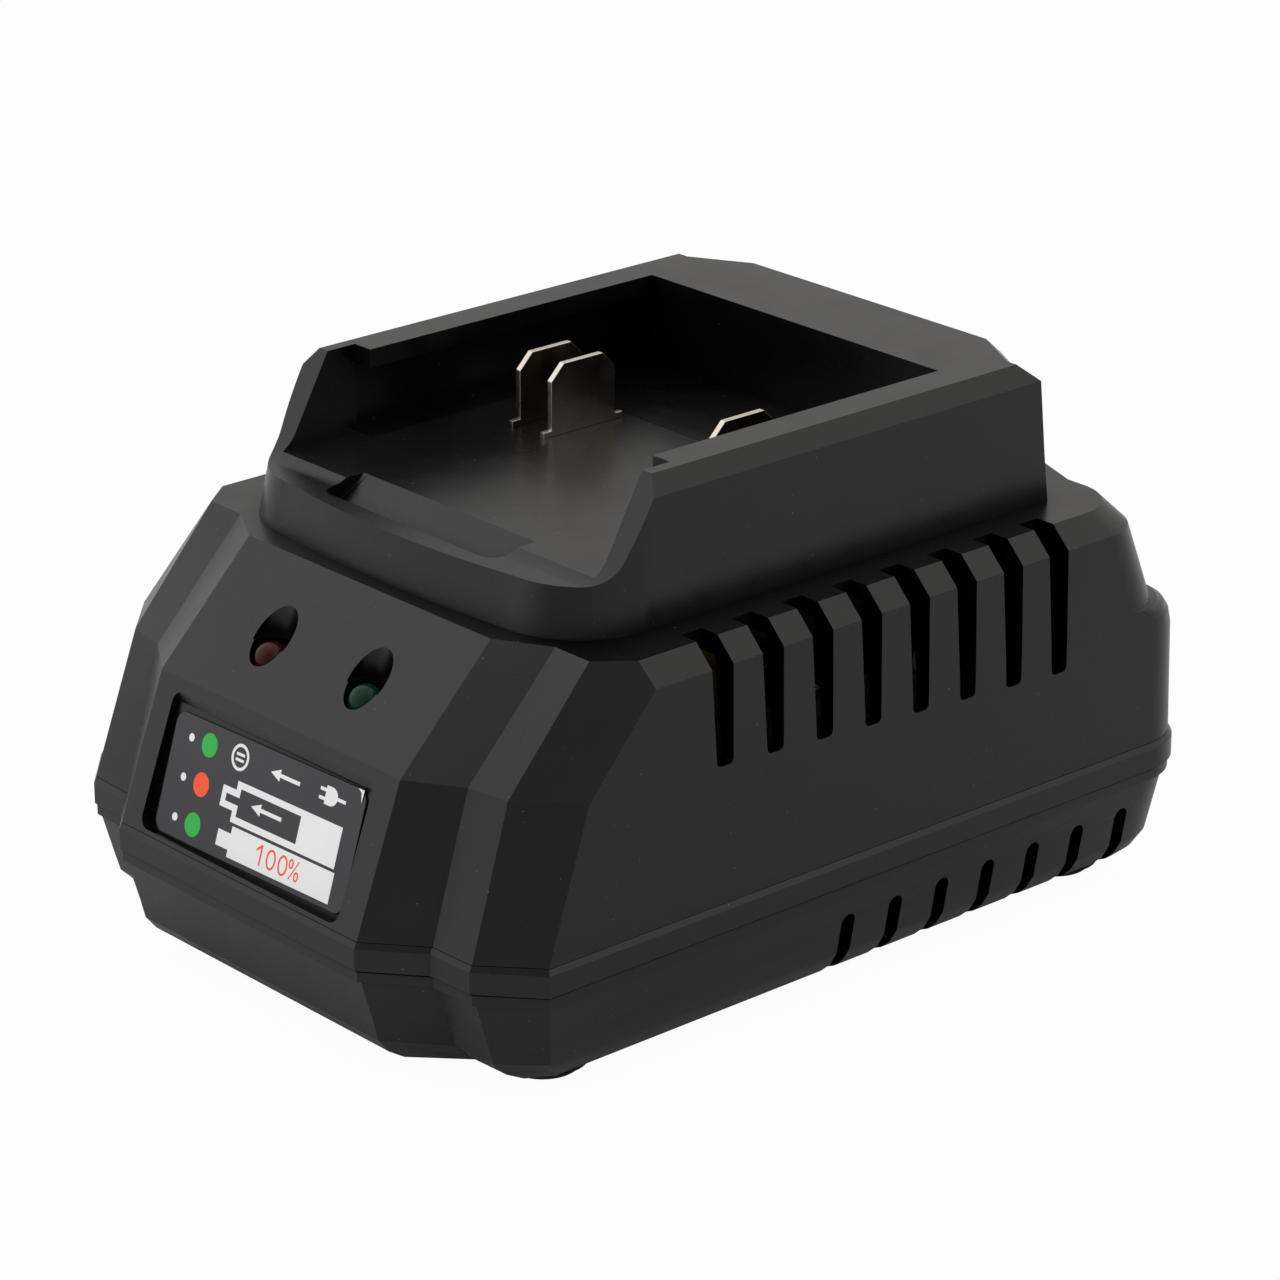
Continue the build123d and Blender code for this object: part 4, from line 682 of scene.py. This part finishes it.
@dataclass
class StatusLabel:
    """The status label in its recess: a satin film with printed signs.

    Places on the label are millimetres from its middle, right and up along the slope.

    Attributes:
        ink_mm: thickness of the ink.
        proud: how far its middle stands over the film, by that thickness.
        line_mm: width of the printed lines.
        rows: heights of the three rows of lamp signs.
        lamps: place and radius of the coloured discs, which stand for the lamps.
        beads: place and radius of the small white discs beside them.
        turn_deg: the film is stuck on askew by this.
        shift_mm: the print sits off the film's centre by this.
        film_mm: thickness of the film.
        edge_mm: rounding of its cut edge.
        slope_mm: run and height that give the film's slope.
    """

    ink_mm: float = 0.03
    proud: float = 0.6
    line_mm: float = 0.95
    rows: tuple[float, float, float] = (5.7, 0.0, -5.8)
    lamps: tuple[float, float] = (-12.5, 1.72)
    beads: tuple[float, float] = (-16.6, 0.58)
    turn_deg: float = 1.2
    shift_mm: float = -0.4
    film_mm: float = 0.3
    edge_mm: float = 0.1
    slope_mm: tuple[float, float] = (7.05, 21.2)

    def __post_init__(self) -> None:
        """Work out the matrix that lays the artwork on the film."""
        run, height = self.slope_mm
        side = Vector((1.0, 0.0, 0.0))
        up = Vector((0.0, run, height)).normalized()
        out = Vector((0.0, -height, run)).normalized()
        basis = Matrix((side, up, out)).transposed().to_4x4()
        turned = Matrix.Rotation(radians(self.turn_deg), 4, "Z")
        low, high = (Vector(corner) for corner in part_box("label"))
        middle = (low + high) / 2 + (side * self.shift_mm + out * self.film_mm / 2) * MM
        self.place = Matrix.Translation(middle) @ basis @ turned

    def build(self) -> None:
        """Dress the film and print the signs on it."""
        film = copy_of_node("label")
        soften(film, self.edge_mm)
        finish_mesh(film, PRINTED_FILM)
        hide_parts("label")
        settle(film, "label_film")
        top, middle, bottom = self.rows
        white = [self.disc(row, *self.beads) for row in self.rows]
        white += self.mains_sign(-5.6, top + 0.2)
        white += self.arrow(1.3, 7.7, top + 0.15)
        white += self.plug(12.0, top + 0.35)
        white += self.battery_outline(-4.9, 18.1, -3.1, 2.75)
        white += self.arrow(-1.2, 5.5, middle + 0.15)
        white += self.battery_full(-4.1, 18.4, -7.95, -3.55)
        self.print_ink(white, "label_print_white", Ink.WHITE)
        green = [self.disc(row, *self.lamps) for row in (top, bottom)]
        self.print_ink(green, "label_print_green", Ink.GREEN)
        self.print_ink([self.disc(middle, *self.lamps)], "label_print_orange", Ink.ORANGE)
        self.print_level()
        self.peel()

    def disc(self, y: float, x: float, radius: float) -> Piece:
        """Add a flat disc, in a row at a height on the label."""
        bpy.ops.mesh.primitive_circle_add(
            vertices=DISC_STEPS, radius=radius * MM, fill_type="NGON",
            location=(x * MM, y * MM, 0.0),
        )
        return bpy.context.active_object

    def bar(self, left: float, right: float, low: float, high: float) -> Piece:
        """Add a flat rectangle between two places on the label."""
        bpy.ops.mesh.primitive_plane_add(
            size=1.0, location=((left + right) / 2 * MM, (low + high) / 2 * MM, 0.0)
        )
        piece = bpy.context.active_object
        piece.scale = ((right - left) * MM, (high - low) * MM, 1.0)
        bpy.ops.object.transform_apply(location=False, rotation=False, scale=True)
        return piece

    def flat(self, corners: Sequence[tuple[float, float]]) -> Piece:
        """Add a flat piece from its corners, which run around it in order."""
        bpy.ops.mesh.primitive_circle_add(vertices=len(corners), radius=1.0, fill_type="NGON")
        piece = bpy.context.active_object
        for vertex, (x, y) in zip(piece.data.vertices, corners):
            vertex.co = (x * MM, y * MM, 0.0)
        return piece

    def ring(self, x: float, y: float, radii: tuple[float, float], line: float) -> Piece:
        """Add an upright oval outline.

        Args:
            x: its middle, to the right.
            y: its middle, up the label.
            radii: half width and half height, outside.
            line: width of its line.

        Returns:
            The flat outline.
        """
        turns = [2.0 * pi * step / RING_STEPS for step in range(RING_STEPS)]
        oval = self.flat([
            (x + radii[0] * cos(turn), y + radii[1] * sin(turn)) for turn in turns
        ])
        with edit_mode(everything=True):
            bpy.ops.mesh.inset(thickness=line * MM)
            bpy.ops.mesh.delete(type="FACE")
        return oval

    def mains_sign(self, x: float, y: float) -> list[Piece]:
        """Return a ring with two bars across its middle."""
        half, gap, thick = 0.9, 0.2, 0.4
        return [
            self.ring(x, y, (1.9, 1.9), 0.45),
            self.bar(x - half, x + half, y + gap, y + gap + thick),
            self.bar(x - half, x + half, y - gap - thick, y - gap),
        ]

    def arrow(self, tip: float, tail: float, y: float) -> list[Piece]:
        """Return an arrow that points left, from its tail to its tip."""
        head, half, line = 2.1, 0.85, 0.28
        return [self.flat([
            (tip, y), (tip + head, y - half), (tip + head, y - line), (tail, y - line),
            (tail, y + line), (tip + head, y + line), (tip + head, y + half),
        ])]

    def plug(self, x: float, y: float) -> list[Piece]:
        """Draw a mains plug with two prongs on its left and a cable on its right.

        Args:
            x: the ends of the prongs.
            y: its middle, up the label.

        Returns:
            The flat pieces of the sign.
        """
        prong, pitch, thin = 1.25, 0.62, 0.24
        half, root, neck, tail = 1.3, 1.2, 2.6, 5.6
        shell = [
            (x + prong + root + (neck - root) * sin(turn), y + half * cos(turn))
            for turn in (pi * step / SHELL_STEPS for step in range(SHELL_STEPS + 1))
        ]
        body = self.flat([(x + prong, y + half), *shell, (x + prong, y - half)])
        pins = [
            self.bar(x, x + prong, y + side * pitch - thin, y + side * pitch + thin)
            for side in (-1.0, 1.0)
        ]
        return [body, *pins, self.bar(x + prong + neck, x + tail, y - thin, y + thin)]

    def battery_outline(self, left: float, right: float, low: float, high: float) -> list[Piece]:
        """Draw a battery in outline, its far part filled, with its terminal on the left.

        Args:
            left: left end without the terminal.
            right: right end.
            low: lower edge.
            high: upper edge.

        Returns:
            The flat pieces of the sign.
        """
        line, nub, filled = self.line_mm, 2.9, 8.7
        nub_low, nub_high = -1.55, 1.45
        return [
            self.bar(left, right, high - line, high),
            self.bar(left, right, low, low + line),
            self.bar(right - filled, right, low + line, high - line),
            self.bar(left, left + line, nub_high - line, high - line),
            self.bar(left, left + line, low + line, nub_low + line),
            self.bar(left - nub, left, nub_high - line, nub_high),
            self.bar(left - nub, left, nub_low, nub_low + line),
            self.bar(left - nub, left - nub + line, nub_low + line, nub_high - line),
        ]

    def battery_full(self, left: float, right: float, low: float, high: float) -> list[Piece]:
        """Return a battery drawn solid, its terminal on the left."""
        nub, lower, upper = 2.8, 1.0, 1.1
        return [
            self.bar(left, right, low, high),
            self.bar(left - nub, left, low + lower, high - upper),
        ]

    def print_ink(self, shapes: list[Piece], name: str, ink: Ink) -> None:
        """Join flat shapes, give them the ink's thickness and lay them on the film.

        Args:
            shapes: flat pieces around the label's middle.
            name: name of the finished print.
            ink: what it is printed with.
        """
        sheet = joined(shapes)
        bpy.ops.object.transform_apply()
        with edit_mode(everything=True):
            bpy.ops.mesh.remove_doubles(threshold=INK_MERGE_MM * MM)
            bpy.ops.mesh.normals_make_consistent(inside=False)
        body = sheet.modifiers.new("ink", "SOLIDIFY")
        body.thickness = self.ink_mm * MM
        body.offset = 0.0
        apply_all(sheet)
        lift = self.ink_mm * MM * self.proud
        sheet.data.transform(self.place @ Matrix.Translation((0.0, 0.0, lift)))
        finish_mesh(sheet, ink.value)
        settle(sheet, name)

    def print_level(self) -> None:
        """Print the charge level, a plain number with its sign, on the full battery."""
        low, high, line = -7.1, -4.2, 0.3
        middle, half = (low + high) / 2, (high - low) / 2
        one, flag, flag_top, flag_low, flag_root = 2.95, 1.05, 0.75, 1.1, 0.42
        noughts, wide = (5.2, 7.8), 1.02
        slash, small, apart, thin = 10.2, (0.5, 0.72), 0.72, line * 0.85
        foot, head, stroke = -0.85, 0.75, 0.2
        pieces = [
            self.bar(one - line / 2, one + line / 2, low, high),
            self.flat([
                (one - line / 2, high), (one - flag, high - flag_top),
                (one - flag, high - flag_low), (one - line / 2, high - flag_root),
            ]),
            *(self.ring(nought, middle, (wide, half), line) for nought in noughts),
            self.ring(slash - apart, high - apart, small, thin),
            self.ring(slash + apart, low + apart, small, thin),
            self.flat([
                (slash + head, high), (slash + foot, low), (slash + foot + stroke, low),
                (slash + head + stroke, high),
            ]),
        ]
        for piece in pieces:
            piece.data.transform(Matrix.Translation((0.0, 0.0, self.ink_mm * MM)))
        self.print_ink(pieces, "label_print_level", Ink.ORANGE)

    def peel(self) -> None:
        """Show the pale back of the film where its upper right corner has lifted."""
        right, top, reach, hollow = 20.85, 8.75, 1.25, 0.38
        inset, tall, lift = 0.1, 1.45, 0.1
        corner = self.flat([
            (right, top), (right - reach, top), (right - reach * hollow, top - reach * hollow),
            (right - inset, top - tall * reach),
        ])
        corner.data.transform(Matrix.Translation((0.0, 0.0, lift * MM)))
        self.print_ink([corner], "label_peel", Ink.WHITE)


@dataclass
class Lamps:
    """Both indicator lamps: tinted epoxy domes over a small lead frame.

    Attributes:
        radius_mm: radius of the epoxy body.
        flange_mm: radius and height of the flange at its foot.
        dome_share: how much of the radius the dome's rounding takes.
        steps: faces across that rounding, and around the body.
        smooth_deg: edges up to this are shaded smooth.
        posts_mm: widths of the two posts.
        post_size_mm: depth and height of each post.
        post_place_mm: each post's middle, aside and above the lamp's foot.
        cup_mm: rim and height of the step on top of each post.
    """

    radius_mm: float = 2.5
    flange_mm: tuple[float, float] = (2.9, 1.0)
    dome_share: float = 0.96
    steps: tuple[int, int] = (12, 48)
    smooth_deg: float = 45.0
    posts_mm: tuple[float, float] = (1.5, 0.8)
    post_size_mm: tuple[float, float] = (0.5, 3.6)
    post_place_mm: tuple[float, float] = (0.85, 2.6)
    cup_mm: tuple[float, float] = (0.08, 0.5)

    def build(self) -> None:
        """Model each lamp where its CAD solid stands."""
        for node, finish, slot in (
            ("red_lamp", RED_EPOXY, "red_lens"), ("green_lamp", GREEN_EPOXY, "green_lens"),
        ):
            low, high = (Vector(corner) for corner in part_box(node))
            foot = Vector(((low.x + high.x) / 2, (low.y + high.y) / 2, low.z))
            lens = self.lens(foot, high.z - low.z)
            finish_mesh(lens, finish)
            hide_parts(node)
            settle(lens, f"{node}_lens")
            die = self.lead_frame(foot)
            finish_mesh(die, ZINC_STEEL)
            settle(die, f"{node}_lead_frame")

    def lens(self, foot: Vector, height: float) -> Piece:
        """Model the epoxy body: a cylinder with a domed top and a flange at its foot.

        Args:
            foot: middle of the lamp's foot.
            height: height of the lamp.

        Returns:
            The lens.
        """
        dome_steps, round_steps = self.steps
        bpy.ops.mesh.primitive_cylinder_add(
            vertices=round_steps, radius=self.radius_mm * MM, depth=height,
            location=(foot.x, foot.y, foot.z + height / 2),
        )
        body = bpy.context.active_object
        bpy.ops.object.transform_apply()
        select_faces(body, lambda face: face.normal.z > LOOKS_UP)
        rounding = self.radius_mm * MM * self.dome_share
        with edit_mode():
            bpy.ops.mesh.bevel(offset=rounding, segments=dome_steps, affect="EDGES")
        radius, depth = (size * MM for size in self.flange_mm)
        bpy.ops.mesh.primitive_cylinder_add(
            vertices=round_steps, radius=radius, depth=depth,
            location=(foot.x, foot.y, foot.z + depth / 2),
        )
        lamp = joined([body, bpy.context.active_object])
        bpy.ops.object.shade_smooth_by_angle(angle=radians(self.smooth_deg))
        return lamp

    def lead_frame(self, foot: Vector) -> Piece:
        """Model the two posts in the epoxy, of which the wide one holds the die.

        Args:
            foot: middle of the lamp's foot.

        Returns:
            The posts as one piece.
        """
        parts = []
        aside, above = (distance * MM for distance in self.post_place_mm)
        depth, height = (size * MM for size in self.post_size_mm)
        rim, step = (size * MM for size in self.cup_mm)
        for side, width in zip((-1, 1), self.posts_mm):
            middle = (foot.x + side * aside, foot.y, foot.z + above)
            bpy.ops.mesh.primitive_cube_add(size=1.0, location=middle)
            post = bpy.context.active_object
            post.scale = (width * MM, depth, height)
            bpy.ops.object.transform_apply()
            select_faces(post, lambda face: face.normal.z > LOOKS_UP)
            with edit_mode():
                bpy.ops.mesh.inset(thickness=rim)
                bpy.ops.mesh.extrude_region_move(TRANSFORM_OT_translate={"value": (0, 0, step)})
            parts.append(post)
        return joined(parts)


@dataclass
class InnerParts:
    """Finishes of the electronics, leads and screws, which keep their CAD shapes.

    Attributes:
        finishes: each finish, with the nodes that take it.
    """

    finishes: tuple[tuple[Finish, tuple[str, ...]], ...] = (
        (FILLED_NYLON, ("terminal_block", "transformer_bobbin")),
        (MOULDED_RUBBER, ("cord_inlet_bush",)),
        (SOLDER_MASK, ("main_circuit_board", "lamp_board")),
        (FERRITE, ("transformer_core", "choke_core")),
        (WINDING_TAPE, ("transformer_winding",)),
        (ENAMELLED_COPPER, ("choke_winding",)),
        (SHRINK_SLEEVE, ("input_capacitor", "output_capacitor_1", "output_capacitor_2")),
        (FILTER_BOX, ("filter_capacitor",)),
        (FUSE_GLASS, ("fuse",)),
        (ZINC_STEEL, ("fuse_clips",)),
        (DIPPED_EPOXY, ("varistor",)),
        (CHIP_COMPOUND, (
            "bridge_rectifier", "power_transistor", "output_rectifier", "optocoupler",
            "control_chip",
        )),
        (EXTRUDED_ALUMINIUM, ("heat_sink",)),
        (NATURAL_NYLON, ("mains_header", "output_header", "lamp_header")),
        (RED_PVC, ("contact_lead_left_outer",)),
        (YELLOW_PVC, ("contact_lead_left_inner",)),
        (BLACK_PVC, ("contact_lead_right",)),
        (GREY_PVC, ("lamp_lead",)),
    )

    def build(self) -> None:
        """Assign the finishes, with zinc steel on every group of screws."""
        for finish, nodes in self.finishes:
            for node in nodes:
                dress(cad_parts[node], finish)
        for node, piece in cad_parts.items():
            if node.endswith("screws"):
                dress(piece, ZINC_STEEL)


@dataclass
class Feet:
    """The four rubber feet: discs with a rounded rim and a fine ring in the sole.

    Attributes:
        places: ends of the feet's node names.
        ring_mm: distance of the ring from the rim of the sole.
        smooth_deg: edges up to this are shaded smooth.
        sole_down: the sole's normal points down by this or more.
        sole_area: the sole is larger than this, in square metres.
    """

    places: tuple[str, ...] = ("front_left", "rear_left", "front_right", "rear_right")
    ring_mm: float = 1.4
    smooth_deg: float = 35.0
    sole_down: float = 0.99
    sole_area: float = 1.0e-5

    def is_sole(self, face: Any) -> bool:
        """Say whether a face is the sole of a foot."""
        return face.normal.z < -self.sole_down and face.area > self.sole_area

    def build(self) -> None:
        """Model the ring in each foot's sole and dress it."""
        for place in self.places:
            node = f"foot_{place}"
            foot = copy_of_node(node)
            select_faces(foot, self.is_sole)
            with edit_mode():
                bpy.ops.mesh.inset(thickness=self.ring_mm * MM, use_even_offset=False)
            bpy.ops.object.shade_smooth_by_angle(angle=radians(self.smooth_deg))
            finish_mesh(foot, MOULDED_RUBBER)
            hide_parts(node)
            settle(foot, f"{node}_pad")


@dataclass(frozen=True)
class SoftBox:
    """A soft light: its name, where it hangs, how large and how strong it is."""

    name: str
    place: tuple[float, float, float]
    size: tuple[float, float]
    power: float


@dataclass(frozen=True)
class Glow:
    """A part of the surroundings that is lighter or darker in reflections.

    Attributes:
        azimuth_deg: its middle, to the right of the front.
        elevation_deg: its middle, above the horizon.
        reach: cosines of the angles where it ends and where it is full.
        gain: red, green and blue that it adds.
    """

    azimuth_deg: float
    elevation_deg: float
    reach: tuple[float, float]
    gain: tuple[float, float, float]


def heading(azimuth_deg: float, elevation_deg: float) -> Vector:
    """Return the direction at an azimuth to the right of the front and an elevation."""
    azimuth, elevation = radians(azimuth_deg), radians(elevation_deg)
    level = cos(elevation)
    return Vector((sin(azimuth) * level, -cos(azimuth) * level, sin(elevation)))


@dataclass
class Studio:
    """White studio: floor, surroundings, soft boxes and the camera.

    Attributes:
        azimuth_deg: camera to the right of the front.
        elevation_deg: camera above the horizon.
        distance: from the camera to its target, in metres.
        target: point in the middle of the picture, in metres.
        lens_mm: focal length on a square sensor.
        sensor_mm: side of that sensor.
        clip_start: the camera sees from here on, in metres.
        ambient: level of the even light on matt surfaces.
        base: what reflections show where no glow adds to it.
        floor_half: half the side of the table, in metres.
        floor_tones: the table in reflections, on the left and on the right, where it is darker as
            painted shade.
        floor_fade: where it goes from the one to the other, in metres across.
        floor_glow: how much of the table the camera sees as pure white.
        boxes: the soft lights.
        glows: the lighter and darker parts of the surroundings.
    """

    azimuth_deg: float = 48.43
    elevation_deg: float = 21.61
    distance: float = 0.7027
    target: tuple[float, float, float] = (0.0, 0.0043, 0.03814)
    lens_mm: float = 135.7
    sensor_mm: float = 36.0
    clip_start: float = 0.01
    ambient: float = 1.0
    base: tuple[float, float, float] = (0.61, 0.6, 0.585)
    floor_half: float = 4.0
    floor_tones: tuple[str, str] = ("#cccccc", "#bcbcbc")
    floor_fade: tuple[float, float] = (0.0, 0.1)
    floor_glow: float = 0.96
    boxes: tuple[SoftBox, ...] = (
        SoftBox("top box", (-0.15, 0.25, 1.1), (1.1, 1.1), 1.0),
        SoftBox("left box", (-0.9, -0.7, 0.75), (0.9, 0.7), 0.2),
        SoftBox("right box", (1.1, 0.45, 0.6), (0.8, 0.8), 0.2),
    )
    glows: tuple[Glow, ...] = (
        Glow(-55.0, 30.0, (0.4, 0.93), (0.36, 0.36, 0.41)),
        Glow(145.0, 40.0, (0.6, 0.95), (0.25, 0.25, 0.24)),
        Glow(30.0, 13.0, (0.5, 0.92), (-0.28, -0.28, -0.27)),
    )

    def build(self) -> None:
        """Set up the camera, the world, the floor and the lights."""
        self.camera()
        self.world()
        self.floor()
        for box in self.boxes:
            self.light(box)
        bpy.context.scene.view_settings.view_transform = "Standard"

    def camera(self) -> None:
        """Create the camera at the product's viewing angle."""
        back = heading(self.azimuth_deg, self.elevation_deg)
        data = bpy.data.cameras.new("camera")
        data.lens = self.lens_mm
        data.sensor_width = self.sensor_mm
        data.sensor_fit = "HORIZONTAL"
        data.clip_start = self.clip_start
        eye = bpy.data.objects.new("camera", data)
        bpy.context.scene.collection.objects.link(eye)
        eye.location = Vector(self.target) + back * self.distance
        eye.rotation_euler = (-back).to_track_quat("-Z", "Y").to_euler()
        bpy.context.scene.camera = eye

    def world(self) -> None:
        """Set the surroundings: white if seen, even for matt surfaces, shaded in reflections."""
        world = bpy.data.worlds.new("studio")
        bpy.context.scene.world = world
        world.use_nodes = True
        tree = world.node_tree
        tree.nodes.clear()
        direction = add_node(tree, "ShaderNodeTexCoord").outputs["Generated"]
        base = dict(enumerate(self.base))
        mirrored = add_node(tree, "ShaderNodeCombineXYZ", base).outputs[0]
        for glow in self.glows:
            middle = heading(glow.azimuth_deg, glow.elevation_deg)
            facing = add_node(
                tree, "ShaderNodeVectorMath", {0: direction, 1: middle}, operation="DOT_PRODUCT"
            )
            share = add_range(tree, facing.outputs["Value"], glow.reach, course="SMOOTHSTEP")
            mirrored = add_node(
                tree, "ShaderNodeVectorMath", {0: share, 1: glow.gain, 2: mirrored},
                operation="MULTIPLY_ADD",
            ).outputs["Vector"]
        even = (self.ambient, self.ambient, self.ambient, 1.0)
        matt = add_node(tree, "ShaderNodeLightPath").outputs["Is Diffuse Ray"]
        lit = add_mix(tree, matt, mirrored, even)
        shown = add_mix(tree, seen_share(tree), lit, WHITE)
        sky = add_node(tree, "ShaderNodeBackground", {"Color": shown, "Strength": 1.0})
        add_node(tree, "ShaderNodeOutputWorld", {"Surface": sky.outputs[0]})

    def floor(self) -> None:
        """Lay a white table under the product, with painted shade on its right, that keeps a
        faint shadow.
        """
        bpy.ops.mesh.primitive_plane_add(size=2.0 * self.floor_half, location=(0.0, 0.0, 0.0))
        table = bpy.context.active_object
        table.name = "studio_floor"
        paint = bpy.data.materials.new("white table")
        paint.use_nodes = True
        tree = paint.node_tree
        tree.nodes.clear()
        # Painted shade: the table's matt tone darkens from left to right; reflections show it,
        # the camera hardly does.
        place = add_node(tree, "ShaderNodeTexCoord").outputs["Object"]
        across = add_node(tree, "ShaderNodeSeparateXYZ", {0: place}).outputs["X"]
        shaded = add_range(tree, across, self.floor_fade, course="SMOOTHSTEP")
        left, right = (linear(tone) for tone in self.floor_tones)
        tone = add_mix(tree, shaded, left, right)
        matt = add_node(tree, "ShaderNodeBsdfDiffuse", {"Color": tone}).outputs[0]
        glow = add_node(tree, "ShaderNodeEmission", {"Color": WHITE, "Strength": 1.0}).outputs[0]
        share = add_math(tree, "MULTIPLY", seen_share(tree), self.floor_glow)
        mixed = add_node(tree, "ShaderNodeMixShader", {0: share, 1: matt, 2: glow})
        add_node(tree, "ShaderNodeOutputMaterial", {"Surface": mixed.outputs[0]})
        table.data.materials.append(paint)

    def light(self, box: SoftBox) -> None:
        """Hang one soft box, aimed at the product.

        Args:
            box: the soft box.
        """
        data = bpy.data.lights.new(box.name, "AREA")
        data.shape = "RECTANGLE"
        data.size, data.size_y = box.size
        data.energy = box.power
        lamp = bpy.data.objects.new(box.name, data)
        bpy.context.scene.collection.objects.link(lamp)
        lamp.location = box.place
        aim = Vector(self.target) - Vector(box.place)
        lamp.rotation_euler = aim.to_track_quat("-Z", "Y").to_euler()


def main() -> None:
    """Build the studio, then every sub-assembly in order."""
    logging.basicConfig(level=logging.INFO)
    for assembly in (
        Studio(), Casing(), Contacts(), StatusLabel(), Lamps(), Feet(), InnerParts(),
    ):
        log.info("building %s", type(assembly).__name__)
        assembly.build()


if __name__ == "__main__":
    main()
